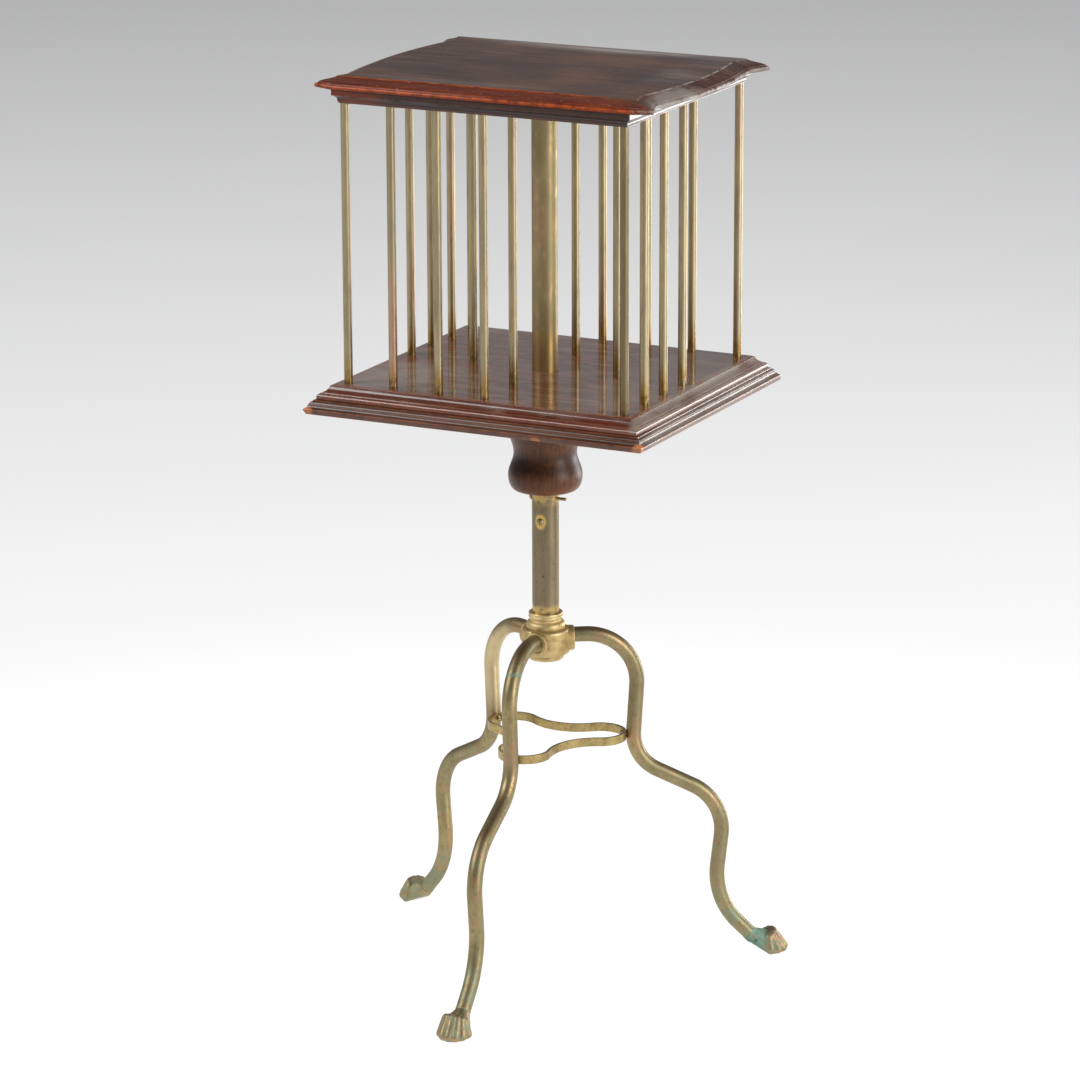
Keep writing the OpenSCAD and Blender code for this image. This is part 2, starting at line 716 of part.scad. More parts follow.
// The plan with each edge drawn in by w
function drawn_in(plan, w) = [for (i = [0:len(plan) - 1])
    let (a = plan_normal(plan, i - 1), b = plan_normal(plan, i))
    plan[i] - w * (a + b) / (1 + a * b)];

module top_board() {
    plan = top_outline();
    n = len(plan);
    levels = len(top_edge);
    color("#57301f")
    difference() {
        translate([0, 0, top_z]) polyhedron(
            points = [for (edge = top_edge, p = drawn_in(plan, edge[1])) [p[0], p[1], edge[0]]],
            faces = concat(
                [[for (i = [0:n - 1]) i]],
                [for (k = [0:levels - 2], i = [0:n - 1])
                    let (j = (i + 1) % n) [k * n + i, (k + 1) * n + i, (k + 1) * n + j]],
                [for (k = [0:levels - 2], i = [0:n - 1])
                    let (j = (i + 1) % n) [k * n + i, (k + 1) * n + j, k * n + j]],
                [[for (i = [1:n]) levels * n - i]]
            )
        );
        for (p = screw_places) translate([p[0], p[1], frieze_z]) screw_hole(frieze_t + screw_bite);
    }
}

hub();
hub_cap();
stem_tube();
stem_plug();
spindle();
cross_pin();
stem_set_screw();
thrust_washer();
for (i = [0:leg_count - 1]) leg(i);
for (i = [0:leg_count - 1]) foot(i);
foot_pins();
leg_grub_screws();
stretcher();
stretcher_screws();
turned_boss();
lower_bush();
upper_bush();
column_tube();
shelf_base_board();
shelf_board();
frieze_board();
top_board();
shelf_screws();
top_screws();
for (r = rod_rows, i = [1:rods_in_row])
    rod(rod_at(r, i - 1), i == 1);
for (r = rod_rows) rod(inner_rod_at(r), false);
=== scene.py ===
"""Looks of a revolving bookstand: mahogany boards and tarnished brass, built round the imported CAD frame.

Every length in a class is in millimetres, as on a maker's drawing, and becomes metres where a mesh is made.
"""

from __future__ import annotations

import json
import logging
import math
from collections.abc import Iterable, Sequence
from dataclasses import dataclass, field
from enum import Enum

import bpy
from mathutils import Matrix, Vector

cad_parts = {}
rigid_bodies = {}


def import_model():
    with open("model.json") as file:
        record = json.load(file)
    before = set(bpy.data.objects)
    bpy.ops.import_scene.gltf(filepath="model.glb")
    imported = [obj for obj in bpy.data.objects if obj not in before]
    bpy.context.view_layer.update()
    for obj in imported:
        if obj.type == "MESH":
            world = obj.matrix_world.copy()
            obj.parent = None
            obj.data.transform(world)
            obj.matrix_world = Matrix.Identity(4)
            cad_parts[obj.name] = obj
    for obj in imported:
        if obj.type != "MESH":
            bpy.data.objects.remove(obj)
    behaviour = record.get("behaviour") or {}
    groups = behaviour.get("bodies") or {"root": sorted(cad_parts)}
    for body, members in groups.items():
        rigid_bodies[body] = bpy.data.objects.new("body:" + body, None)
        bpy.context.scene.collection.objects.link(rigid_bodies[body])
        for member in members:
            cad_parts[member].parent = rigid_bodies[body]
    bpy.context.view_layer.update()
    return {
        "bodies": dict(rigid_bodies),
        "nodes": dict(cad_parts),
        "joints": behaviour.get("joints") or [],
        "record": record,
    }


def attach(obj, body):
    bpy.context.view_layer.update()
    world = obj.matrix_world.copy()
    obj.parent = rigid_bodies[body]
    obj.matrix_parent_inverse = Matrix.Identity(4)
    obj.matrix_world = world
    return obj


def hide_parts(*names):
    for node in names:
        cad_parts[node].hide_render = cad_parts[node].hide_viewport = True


LOG = logging.getLogger("bookstand")
MM = 0.001
NEAR = 1e-5
SHELF_TOP = 584.23
BOARD_THICK = 13.0
FRIEZE_FOOT = 845.23
LEG_TURNS = {"front": -87.0, "right": 33.0, "left": 153.0}
ROD_ROWS = ("front", "right", "back", "left")

Pair = tuple[float, float]
Point = tuple[float, float, float]
EdgePoint = tuple[float, float, float, float]
Sockets = dict[str | int, object]


class Body(Enum):
    """The two CAD bodies that pieces ride on."""

    STAND = "stand"
    CAROUSEL = "carousel"


def linear(code: str) -> tuple[float, float, float, float]:
    """Turns an sRGB hex colour to linear RGBA.

    Args:
        code: Six hex digits after a hash.

    Returns:
        The colour as Blender's sockets take it, with an alpha of 1.
    """
    parts = [int(code[i : i + 2], 16) / 255 for i in (1, 3, 5)]
    r, g, b = (c / 12.92 if c <= 0.04045 else ((c + 0.055) / 1.055) ** 2.4 for c in parts)
    return (r, g, b, 1.0)


def add(tree: bpy.types.NodeTree, kind: str, sockets: Sockets | None = None, **settings: object) -> bpy.types.Node:
    """Adds one node with its settings, and links or fills its input sockets.

    Args:
        tree: The node tree that the node goes into.
        kind: The node's type name.
        sockets: Input name or index, with the output to link or the value to set.
        settings: The node's own settings.

    Returns:
        The new node.
    """
    made = tree.nodes.new(kind)
    for name, value in settings.items():
        setattr(made, name, value)
    for key, value in (sockets or {}).items():
        if isinstance(value, bpy.types.NodeSocket):
            tree.links.new(value, made.inputs[key])
        else:
            made.inputs[key].default_value = value
    return made


# ---- finishes


# Noise lies mostly between 0.25 and 0.75, so a layer's cover is read from that stretch.
NOISE_TOP = 0.76
NOISE_SPAN = 0.52
# How far each layer's noise is moved on from the last one's, so that no two lie alike.
SEED_STEP = (0.731, 0.417, 0.253)


@dataclass(frozen=True)
class Zone:
    """An egg-shaped part of the object that a layer keeps to, fading out from a share of its size."""

    centre: Point
    reach: Point
    core: float = 0.5


@dataclass(frozen=True)
class Layer:
    """One thing seen on a surface: a stain, a streak, worn polish, a crust or a painted reflection, with where it
    lies and what it does.

    grain is the size of its patches in mm along each axis, and cover runs from 0, none, to 1, all over.
    """

    colour: str
    grain: Point
    cover: float
    soft: float = 0.12
    strength: float = 1.0
    rough: float | None = None
    metal: float | None = None
    zone: Zone | None = None
    mark: str | None = None
    detail: float = 4.0


@dataclass(frozen=True)
class Finish:
    """A ground colour with layers over it, under an optional clear coat."""

    name: str
    ground: str
    rough: float = 0.4
    metal: float = 0.0
    coat: float = 0.0
    coat_rough: float = 0.1
    gloss: float = 0.5
    layers: tuple[Layer, ...] = ()
    bump_grain: Point = (1.0, 1.0, 1.0)
    bump_mm: float = 0.0

    def mask(
        self, tree: bpy.types.NodeTree, place: bpy.types.NodeSocket, layer: Layer, seed: int
    ) -> bpy.types.NodeSocket:
        """Works out where one layer lies.

        Args:
            tree: The material's node tree.
            place: The Object coordinates.
            layer: The layer.
            seed: Moves this layer's pattern away from the others'.

        Returns:
            A value from 0 to the layer's strength.
        """
        scale = tuple(1 / (g * MM) for g in layer.grain)
        shift = tuple(seed * step for step in SEED_STEP)
        spread = add(tree, "ShaderNodeMapping", {"Vector": place, "Scale": scale, "Location": shift})
        noise = {"Vector": spread.outputs[0], "Scale": 1.0, "Detail": layer.detail, "Roughness": 0.6}
        cloud = add(tree, "ShaderNodeTexNoise", noise).outputs[0]
        edge = NOISE_TOP - NOISE_SPAN * layer.cover
        ends = {"From Min": edge - layer.soft, "From Max": edge + layer.soft, "To Max": layer.strength}
        kind = "SMOOTHSTEP"
        found = add(tree, "ShaderNodeMapRange", {"Value": cloud, **ends}, interpolation_type=kind).outputs[0]
        if layer.mark:
            marked = add(tree, "ShaderNodeAttribute", attribute_name=layer.mark)
            found = add(tree, "ShaderNodeMath", {0: found, 1: marked.outputs["Fac"]}, operation="MULTIPLY").outputs[0]
        if layer.zone:
            centre, reach = (tuple(c * MM for c in part) for part in (layer.zone.centre, layer.zone.reach))
            egg = {"Vector": place, "Location": centre, "Scale": reach}
            local = add(tree, "ShaderNodeMapping", egg, vector_type="TEXTURE")
            far = add(tree, "ShaderNodeVectorMath", {0: local.outputs[0]}, operation="LENGTH").outputs["Value"]
            ends = {"From Min": layer.zone.core, "From Max": 1.0, "To Min": 1.0, "To Max": 0.0}
            near = add(tree, "ShaderNodeMapRange", {"Value": far, **ends}, interpolation_type=kind)
            found = add(tree, "ShaderNodeMath", {0: found, 1: near.outputs[0]}, operation="MULTIPLY").outputs[0]
        return found

    def build(self) -> bpy.types.Material:
        """Makes the material.

        Returns:
            The finished material.
        """
        material = bpy.data.materials.new(self.name)
        material.use_nodes = True
        tree = material.node_tree
        tree.nodes.clear()
        place = add(tree, "ShaderNodeTexCoord").outputs["Object"]
        coat = {"Coat Weight": self.coat, "Coat Roughness": self.coat_rough}
        shader = add(tree, "ShaderNodeBsdfPrincipled", {**coat, "Specular IOR Level": self.gloss})
        colour: object = linear(self.ground)
        rough: object = self.rough
        metal: object = self.metal
        for seed, layer in enumerate(self.layers, 1):
            where = self.mask(tree, place, layer, seed)
            both = {0: where, 6: colour, 7: linear(layer.colour)}
            colour = add(tree, "ShaderNodeMix", both, data_type="RGBA").outputs[2]
            if layer.rough is not None:
                rough = add(tree, "ShaderNodeMix", {0: where, 2: rough, 3: layer.rough}).outputs[0]
            if layer.metal is not None:
                metal = add(tree, "ShaderNodeMix", {0: where, 2: metal, 3: layer.metal}).outputs[0]
        for name, value in (("Base Color", colour), ("Roughness", rough), ("Metallic", metal)):
            if isinstance(value, bpy.types.NodeSocket):
                tree.links.new(value, shader.inputs[name])
            else:
                shader.inputs[name].default_value = value
        if self.bump_mm:
            scale = tuple(1 / (g * MM) for g in self.bump_grain)
            spread = add(tree, "ShaderNodeMapping", {"Vector": place, "Scale": scale})
            noise = {"Vector": spread.outputs[0], "Scale": 1.0, "Detail": 3.0}
            height = add(tree, "ShaderNodeTexNoise", noise).outputs[0]
            bump = add(tree, "ShaderNodeBump", {"Height": height, "Distance": self.bump_mm * MM, "Strength": 1.0})
            tree.links.new(bump.outputs[0], shader.inputs["Normal"])
            tree.links.new(bump.outputs[0], shader.inputs["Coat Normal"])
        add(tree, "ShaderNodeOutputMaterial", {"Surface": shader.outputs[0]})
        return material


# The pale grey on the boards' right-hand edges, and across the back and the front edge of the top, is painted
# reflection.
# Honduras mahogany, planed, stained dark and french polished about a century ago. The shellac gives a deep, glassy
# coat over long brown streaks. Its arrises are rubbed back to orange wood, and old polish has gone grey in places.
# The pores are about 0.2 mm wide, too fine to show, so the streaks are drawn 1 to 4 mm wide.
STREAK_FINE = (34.0, 1.3, 1.3)
STREAK_WIDE = (160.0, 7.0, 7.0)
CLOUD = (90.0, 50.0, 50.0)


@dataclass(frozen=True)
class PolishedMahogany(Finish):
    """French polished mahogany with its grain along X."""

    rough: float = 0.42
    coat: float = 0.9
    coat_rough: float = 0.13
    gloss: float = 0.15
    bump_grain: Point = (26.0, 3.0, 3.0)
    bump_mm: float = 0.02


# Yellow brass, drawn as rod and tube or cast, once lacquered. Where the lacquer has gone it tarnishes olive and
# brown, turns pink where zinc has left it, and stays golden where hands rub it.
@dataclass(frozen=True)
class TarnishedBrass(Finish):
    """Old brass with olive tarnish."""

    rough: float = 0.3
    metal: float = 1.0
    bump_grain: Point = (2.2, 2.2, 2.2)
    bump_mm: float = 0.012


# Bright drawn steel, oiled and out of sight in the bearing: grey, with a faint brown bloom.
@dataclass(frozen=True)
class DrawnSteel(Finish):
    """Bright steel bar and screws."""

    rough: float = 0.28
    metal: float = 1.0


def worn(colour: str, cover: float, strength: float = 1.0, mark: str = "wear") -> Layer:
    """Polish rubbed through to the wood along marked arrises."""
    return Layer(colour, (9.0, 9.0, 9.0), cover, soft=0.16, strength=strength, rough=0.55, mark=mark)


# Dark on the flat, with a painted pale reflection towards the back, the back right and the front edge, and red
# where its edge turns under. Its right-hand edge carries a painted pale reflection and a painted highlight.
TOP_WOOD = PolishedMahogany(
    "polished_mahogany_top",
    "#4d2412",
    coat=0.3,
    coat_rough=0.2,
    layers=(
        Layer("#7d5139", STREAK_WIDE, 0.45, 0.16, 0.9),
        Layer("#341d12", STREAK_FINE, 0.46, 0.14, 0.9),
        Layer("#8d5f41", CLOUD, 0.36, 0.16, 0.6, rough=0.5),
        # Painted reflection: a pale grey sheen along the back of the flat.
        Layer("#d2c9c2", (90.0, 7.0, 20.0), 0.62, 0.2, 0.75, rough=0.6,
              zone=Zone((30, 118, 869), (190, 34, 8), 0.2)),
        # Painted reflection: a paler grey sheen towards the back right.
        Layer("#b5aca5", (60.0, 20.0, 20.0), 0.45, 0.2, 0.5, rough=0.6,
              zone=Zone((132, 40, 869), (38, 110, 8), 0.2)),
        # Painted reflection: a pale sheen in a band along the front edge of the flat.
        Layer("#a3968d", (70.0, 2.5, 10.0), 0.45, 0.16, 0.5, zone=Zone((-30, -108, 869), (150, 16, 8), 0.3)),
        Layer("#87391d", (60.0, 14.0, 14.0), 0.9, 0.3, 0.9, mark="edge",
              zone=Zone((-10, -134, 863), (215, 22, 20), 0.7)),
        Layer("#461a0d", (40.0, 6.0, 6.0), 0.42, 0.2, 0.7, mark="edge"),
        # Painted reflection: the right-hand edge is turned pale grey, standing in for the bright room it faces.
        Layer("#b5aaa0", (30.0, 30.0, 12.0), 0.75, 0.2, 0.7, mark="edge",
              zone=Zone((166, -72, 863), (24, 62, 20), 0.5)),
        Layer("#cf5a24", (9.0, 9.0, 9.0), 0.62, 0.16, rough=0.55, mark="wear",
              zone=Zone((-20, -134, 863), (215, 24, 20), 0.75)),
        # Painted highlight: white along the rubbed arrises of the right-hand edge.
        Layer("#c9beb4", (9.0, 9.0, 9.0), 0.6, 0.16, 0.85, rough=0.5, mark="wear",
              zone=Zone((170, 0, 863), (40, 170, 20), 0.8)),
        Layer("#a8927f", (34.0, 0.8, 4.0), 0.2, 0.05, 0.55, rough=0.6),
        Layer("#d8cfc8", (3.4, 1.6, 2.0), 0.14, 0.04, 0.7, rough=0.7),
        Layer("#e6ded7", (1.4, 1.4, 1.4), 0.1, 0.03, 0.8, rough=0.7),
        Layer("#2c1a10", (60.0, 30.0, 20.0), 0.5, 0.3, 0.5, zone=Zone((-60, -40, 869), (110, 60, 6), 0.6)),
    ),
)
# Nearly black, with painted light at the left end of its front and a painted pale reflection along the right side.
FRIEZE_WOOD = PolishedMahogany(
    "polished_mahogany_frieze",
    "#3a2018",
    coat=0.8,
    coat_rough=0.2,
    layers=(
        Layer("#553020", STREAK_WIDE, 0.45, 0.2, 0.8),
        Layer("#22110b", STREAK_FINE, 0.45, 0.16, 0.7),
        # Painted light: the left end of the front is lighter and redder where the light reaches it.
        Layer("#8a3a18", (30.0, 20.0, 5.0), 0.75, 0.3, 0.85, zone=Zone((-130, -135, 853), (45, 30, 16), 0.4)),
        # Painted reflection: the right side is pale grey, standing in for the bright room it faces.
        Layer("#c4bbb2", (60.0, 60.0, 6.0), 0.72, 0.2, 0.8, rough=0.5,
              zone=Zone((152, 0, 851), (17, 145, 16), 0.7)),
        worn("#94461f", 0.42),
    ),
)
# The glossiest board: three planks with dark seams, hazy round the column and towards the left, with a painted pale
# reflection on its right side.
SHELF_WOOD = PolishedMahogany(
    "polished_mahogany_shelf",
    "#4d2f22",
    coat=1.0,
    coat_rough=0.07,
    layers=(
        Layer("#6e452f", STREAK_WIDE, 0.5, 0.2, 0.8),
        Layer("#2c1710", STREAK_FINE, 0.45, 0.16, 0.8),
        Layer("#8a7a6e", (46.0, 14.0, 12.0), 0.42, 0.08, 0.6, rough=0.32),
        Layer("#9d9188", (26.0, 3.0, 8.0), 0.26, 0.06, 0.5, rough=0.5),
        Layer("#8a7c74", (18.0, 14.0, 14.0), 0.55, 0.2, 0.5, rough=0.6,
              zone=Zone((0, -8, 584), (62, 42, 8), 0.2)),
        Layer("#b3a79e", (40.0, 30.0, 14.0), 0.72, 0.2, 0.7, rough=0.55,
              zone=Zone((-120, -80, 584), (66, 66, 8), 0.5)),
        Layer("#1d0d09", (400.0, 400.0, 400.0), 1.0, 0.3, 0.7, zone=Zone((0, -62, 584), (170, 0.9, 9), 0.5)),
        Layer("#1d0d09", (400.0, 400.0, 400.0), 1.0, 0.3, 0.7, zone=Zone((0, 36, 584), (170, 0.9, 9), 0.5)),
        Layer("#7a3216", (60.0, 14.0, 14.0), 0.72, 0.3, 0.75, mark="edge"),
        # Painted reflection: the right part of the flat is greyed, standing in for the bright room it faces.
        Layer("#8e887a", (34.0, 60.0, 20.0), 0.7, 0.2, 0.6, rough=0.5,
              zone=Zone((112, 20, 584), (56, 170, 8), 0.6)),
        # Painted reflection: the right-hand moulded edge is pale grey.
        Layer("#b3a89a", (30.0, 60.0, 12.0), 0.75, 0.2, 0.68, rough=0.4,
              zone=Zone((160, 10, 578), (18, 190, 16), 0.75)),
        worn("#c0602a", 0.6),
        Layer("#cfc6bf", (1.5, 1.5, 1.5), 0.04, 0.03, 0.5, rough=0.7),
    ),
)
# Rubbed along every arris, knocked back to bare orange wood at its front corners, and with a painted pale reflection
# along its right side.
MOULDING_WOOD = PolishedMahogany(
    "polished_mahogany_moulding",
    "#4e2812",
    coat=0.85,
    coat_rough=0.18,
    layers=(
        Layer("#70402a", STREAK_WIDE, 0.5, 0.2, 0.8),
        Layer("#34180d", STREAK_FINE, 0.45, 0.16, 0.7),
        Layer("#7f5a47", CLOUD, 0.35, 0.25, 0.5, rough=0.5),
        # Painted reflection: the right-hand edge is pale grey, standing in for the bright room it faces.
        Layer("#a99d8f", (30.0, 60.0, 9.0), 0.72, 0.2, 0.62, rough=0.4,
              zone=Zone((170, 10, 564), (18, 190, 16), 0.75)),
        worn("#b4613a", 0.58),
        Layer("#e08b58", (7.0, 7.0, 7.0), 0.9, 0.2, 1.0, rough=0.7,
              zone=Zone((-171, -156, 561), (11, 8, 7), 0.6)),
        Layer("#e08b58", (7.0, 7.0, 7.0), 0.9, 0.2, 1.0, rough=0.7,
              zone=Zone((171, -156, 561), (11, 9, 7), 0.6)),
        Layer("#e08b58", (5.0, 5.0, 5.0), 0.9, 0.2, 1.0, rough=0.7,
              zone=Zone((66, -156, 559), (6, 4, 3.5), 0.6)),
    ),
)
# Turned with its grain upright. Orange brown at its foot, with a dark band from the bulge up to the waist.
BOSS_WOOD = PolishedMahogany(
    "polished_mahogany_boss",
    "#6f4020",
    coat=0.5,
    coat_rough=0.42,
    bump_grain=(40.0, 40.0, 1.6),
    layers=(
        Layer("#8a5a36", (10.0, 10.0, 60.0), 0.55, 0.2, 0.75),
        Layer("#29110a", (2.0, 2.0, 30.0), 0.42, 0.16, 0.6),
        Layer("#1d1009", (60.0, 60.0, 9.0), 0.8, 0.3, 0.85, zone=Zone((0, 0, 498), (60, 60, 17), 0.5)),
        Layer("#945426", (20.0, 20.0, 9.0), 0.9, 0.3, 0.7, zone=Zone((0, 0, 470), (60, 60, 13), 0.4)),
        worn("#a9603c", 0.5),
    ),
)
# Drawn rod, streaked along its length, golden and then brown where it enters the shelf. One corner rod is dull.
ROD_BRASS = TarnishedBrass(
    "drawn_brass_rod",
    "#bcab86",
    rough=0.4,
    layers=(
        Layer("#a0947a", (14.0, 14.0, 90.0), 0.5, 0.2, 0.8),
        Layer("#c49884", (60.0, 60.0, 400.0), 0.3, 0.1, 0.7),
        Layer("#857358", (3.0, 3.0, 26.0), 0.3, 0.14, 0.5, rough=0.42),
        Layer("#a5803c", (5.0, 5.0, 9.0), 0.7, 0.2, 0.8, rough=0.4,
              zone=Zone((0, 0, 588), (900, 900, 30), 0.2)),
        Layer("#6b4a28", (3.0, 3.0, 6.0), 0.4, 0.14, 0.7, rough=0.5,
              zone=Zone((0, 0, 586), (900, 900, 15), 0.3)),
        Layer("#73674b", (14.0, 14.0, 90.0), 0.9, 0.2, 0.8, rough=0.55,
              zone=Zone((140, -125, 720), (12, 12, 190), 0.8)),
    ),
)
# Drawn tube with a dull skin, rubbed golden near the shelf.
COLUMN_BRASS = TarnishedBrass(
    "drawn_brass_column",
    "#ae9c75",
    rough=0.52,
    layers=(
        Layer("#958862", (16.0, 16.0, 40.0), 0.5, 0.2, 0.8),
        Layer("#b48e74", (24.0, 24.0, 60.0), 0.3, 0.14, 0.6),
        Layer("#c0aa78", (8.0, 8.0, 14.0), 0.3, 0.1, 0.5, rough=0.3),
        Layer("#b8955a", (7.0, 7.0, 12.0), 0.6, 0.16, 0.8, rough=0.4,
              zone=Zone((0, 0, 600), (60, 60, 34), 0.5)),
    ),
)
# Drawn tube gone brown, rubbed bright at both ends and round the set screw.
STEM_BRASS = TarnishedBrass(
    "drawn_brass_stem",
    "#887961",
    rough=0.42,
    layers=(
        Layer("#73684f", (12.0, 12.0, 40.0), 0.5, 0.2, 0.8),
        Layer("#8d7d62", (3.0, 3.0, 20.0), 0.4, 0.14, 0.6),
        Layer("#c0a362", (9.0, 9.0, 9.0), 0.5, 0.1, 0.85, rough=0.28,
              zone=Zone((0, 0, 466), (60, 60, 13), 0.3)),
        Layer("#c9ab62", (5.0, 5.0, 5.0), 0.85, 0.12, 0.95, rough=0.26,
              zone=Zone((0.7, -13, 440.5), (6.8, 8, 8.8), 0.66)),
        Layer("#c4a668", (7.0, 7.0, 5.0), 0.6, 0.1, 0.9, rough=0.26,
              zone=Zone((0, 0, 352), (60, 60, 9), 0.3)),
        Layer("#4a3f28", (3.0, 3.0, 3.0), 0.2, 0.06, 0.6, rough=0.6),
    ),
)
# Cast and turned, paler and duller than the tubes, brightest on its collar.
HUB_BRASS = TarnishedBrass(
    "cast_brass_hub",
    "#d2b985",
    rough=0.62,
    layers=(
        Layer("#ab9564", (12.0, 12.0, 9.0), 0.5, 0.16, 0.8),
        Layer("#937c4e", (5.0, 5.0, 4.0), 0.3, 0.1, 0.6, rough=0.45),
        Layer("#83703f", (6.0, 6.0, 3.0), 0.7, 0.25, 0.6, rough=0.55, mark="hollow"),
        Layer("#e2cd9c", (12.0, 12.0, 12.0), 0.85, 0.2, 0.7, zone=Zone((0, 0, 347), (60, 60, 10), 0.6)),
        Layer("#dcc591", (6.0, 6.0, 6.0), 0.8, 0.2, 0.6, rough=0.3, mark="wear"),
    ),
)
# Bent tube with blotches of olive and pink, verdigris low down, and a green ring on the front leg.
LEG_BRASS = TarnishedBrass(
    "bent_brass_leg",
    "#988b6b",
    rough=0.5,
    layers=(
        Layer("#8b7d5a", (22.0, 22.0, 30.0), 0.5, 0.2, 0.8),
        Layer("#b79f6c", (26.0, 26.0, 46.0), 0.34, 0.14, 0.6, rough=0.34),
        Layer("#ad8168", (9.0, 9.0, 14.0), 0.3, 0.1, 0.6),
        Layer("#8f936a", (7.0, 7.0, 9.0), 0.38, 0.1, 0.55, rough=0.5),
        Layer("#6f6142", (3.0, 3.0, 5.0), 0.28, 0.12, 0.5, rough=0.5),
        Layer("#b08872", (7.0, 7.0, 7.0), 0.5, 0.12, 0.6, zone=Zone((0, 0, 228), (160, 160, 34), 0.3)),
        Layer("#d4c097", (30.0, 30.0, 40.0), 0.8, 0.2, 0.8, rough=0.4,
              zone=Zone((-58, 30, 280), (50, 50, 60), 0.5)),
        Layer("#8fa890", (9.0, 9.0, 11.0), 0.5, 0.14, 0.5, rough=0.6, metal=0.4,
              zone=Zone((0, 0, 36), (400, 400, 44), 0.3)),
        Layer("#7bb39c", (8.0, 8.0, 4.0), 0.8, 0.12, 0.85, rough=0.7, metal=0.1,
              zone=Zone((3.9, -75, 310), (12, 12, 3), 0.4)),
        Layer("#d0c9a4", (1.6, 1.6, 1.6), 0.1, 0.04, 0.5, rough=0.6),
    ),
)
# Bent flat strip, handled, so brighter than the legs, with brown specks.
STRIP_BRASS = TarnishedBrass(
    "bent_brass_strip",
    "#bfa670",
    rough=0.34,
    layers=(
        Layer("#a08e5e", (14.0, 14.0, 14.0), 0.5, 0.16, 0.85),
        Layer("#84855e", (9.0, 9.0, 6.0), 0.32, 0.1, 0.5),
        Layer("#6e5a30", (3.0, 3.0, 2.5), 0.3, 0.08, 0.65, rough=0.5),
        Layer("#ab7a5c", (6.0, 6.0, 6.0), 0.25, 0.08, 0.45),
    ),
)
# Sand cast, with a fine rough skin. Pink on the flutes, brown between them, and verdigris on the right foot.
FOOT_BRASS = TarnishedBrass(
    "cast_brass_paw",
    "#b09270",
    rough=0.5,
    bump_grain=(1.4, 1.4, 1.4),
    bump_mm=0.04,
    layers=(
        Layer("#969068", (7.0, 7.0, 7.0), 0.5, 0.14, 0.7),
        Layer("#c79a82", (7.0, 7.0, 9.0), 0.6, 0.16, 0.6, mark="wear"),
        Layer("#66543a", (3.0, 3.0, 3.0), 0.7, 0.2, 0.5, rough=0.6, mark="hollow"),
        Layer("#8fae92", (5.0, 5.0, 5.0), 0.42, 0.12, 0.65, rough=0.7, metal=0.2),
        Layer("#8fc2ab", (6.0, 6.0, 6.0), 0.62, 0.12, 0.85, rough=0.75, metal=0.1,
              zone=Zone((169, 109, 12), (22, 20, 20), 0.5)),
        Layer("#c2d0bf", (3.0, 3.0, 3.0), 0.34, 0.1, 0.8, rough=0.8, metal=0.0,
              zone=Zone((167, 108, 16), (13, 11, 11), 0.5)),
        Layer("#957261", (5.0, 5.0, 5.0), 0.66, 0.14, 0.75, rough=0.5,
              zone=Zone((186, 118, 16), (13, 13, 10), 0.5)),
        Layer("#4a4436", (40.0, 40.0, 40.0), 1.0, 0.3, 0.8, metal=0.0,
              zone=Zone((174.7, 103.6, 13.2), (2.7, 2.7, 2.5), 0.4)),
        Layer("#b3b183", (7.0, 7.0, 7.0), 0.5, 0.14, 0.7, rough=0.6, metal=0.4,
              zone=Zone((-186, 95, 14), (30, 28, 24), 0.6)),
    ),
)
# Turned from the bar and dull with age.
SCREW_BRASS = TarnishedBrass(
    "turned_brass_screw",
    "#b3a27a",
    rough=0.46,
    layers=(
        Layer("#63553a", (2.0, 2.0, 2.0), 0.45, 0.12, 0.8, rough=0.5),
        Layer("#c2a86c", (3.0, 3.0, 3.0), 0.35, 0.1, 0.6),
    ),
)
# Machined and kept bright by oil.
BEARING_BRASS = TarnishedBrass(
    "machined_brass_bearing",
    "#c8ae6c",
    rough=0.22,
    layers=(
        Layer("#9c8448", (6.0, 6.0, 1.0), 0.4, 0.14, 0.7),
        Layer("#6b5528", (4.0, 4.0, 4.0), 0.2, 0.1, 0.6, rough=0.45),
    ),
)
BRIGHT_STEEL = DrawnSteel(
    "bright_drawn_steel",
    "#9b9ea1",
    layers=(
        Layer("#7c7d7e", (3.0, 3.0, 0.8), 0.5, 0.2, 0.7),
        Layer("#6b5647", (7.0, 7.0, 7.0), 0.2, 0.1, 0.5, rough=0.5),
    ),
)


@dataclass
class Finishes:
    """The bookstand's materials, made once each and handed out by the record's slot names."""

    by_slot: dict[str, Finish] = field(
        default_factory=lambda: {
            "top_mahogany": TOP_WOOD,
            "frieze_mahogany": FRIEZE_WOOD,
            "board_mahogany": SHELF_WOOD,
            "moulding_mahogany": MOULDING_WOOD,
            "boss_mahogany": BOSS_WOOD,
            "rod_brass": ROD_BRASS,
            "column_brass": COLUMN_BRASS,
            "stem_brass": STEM_BRASS,
            "hub_brass": HUB_BRASS,
            "leg_brass": LEG_BRASS,
            "strip_brass": STRIP_BRASS,
            "foot_brass": FOOT_BRASS,
            "screw_brass": SCREW_BRASS,
            "bearing_brass": BEARING_BRASS,
            "bright_steel": BRIGHT_STEEL,
        }
    )
    made: dict[str, bpy.types.Material] = field(default_factory=dict)

    def of(self, slot: str) -> bpy.types.Material:
        """Gives the material of one slot.

        Args:
            slot: The record's slot name.

        Returns:
            The material, made at its first use.
        """
        if slot not in self.made:
            self.made[slot] = self.by_slot[slot].build()
        return self.made[slot]


# ---- modelling


@dataclass(frozen=True)
class Row:
    """One ring of a piece: how far it reaches along X and Y, its height, and its share of wear and of edge colour."""

    x: float
    y: float
    z: float
    wear: float = 0.0
    edge: float = 0.0


def nothing_selected() -> None:
    """Leaves edit mode and deselects everything."""
    if bpy.context.object and bpy.context.object.mode != "OBJECT":
        bpy.ops.object.mode_set(mode="OBJECT")
    bpy.ops.object.select_all(action="DESELECT")


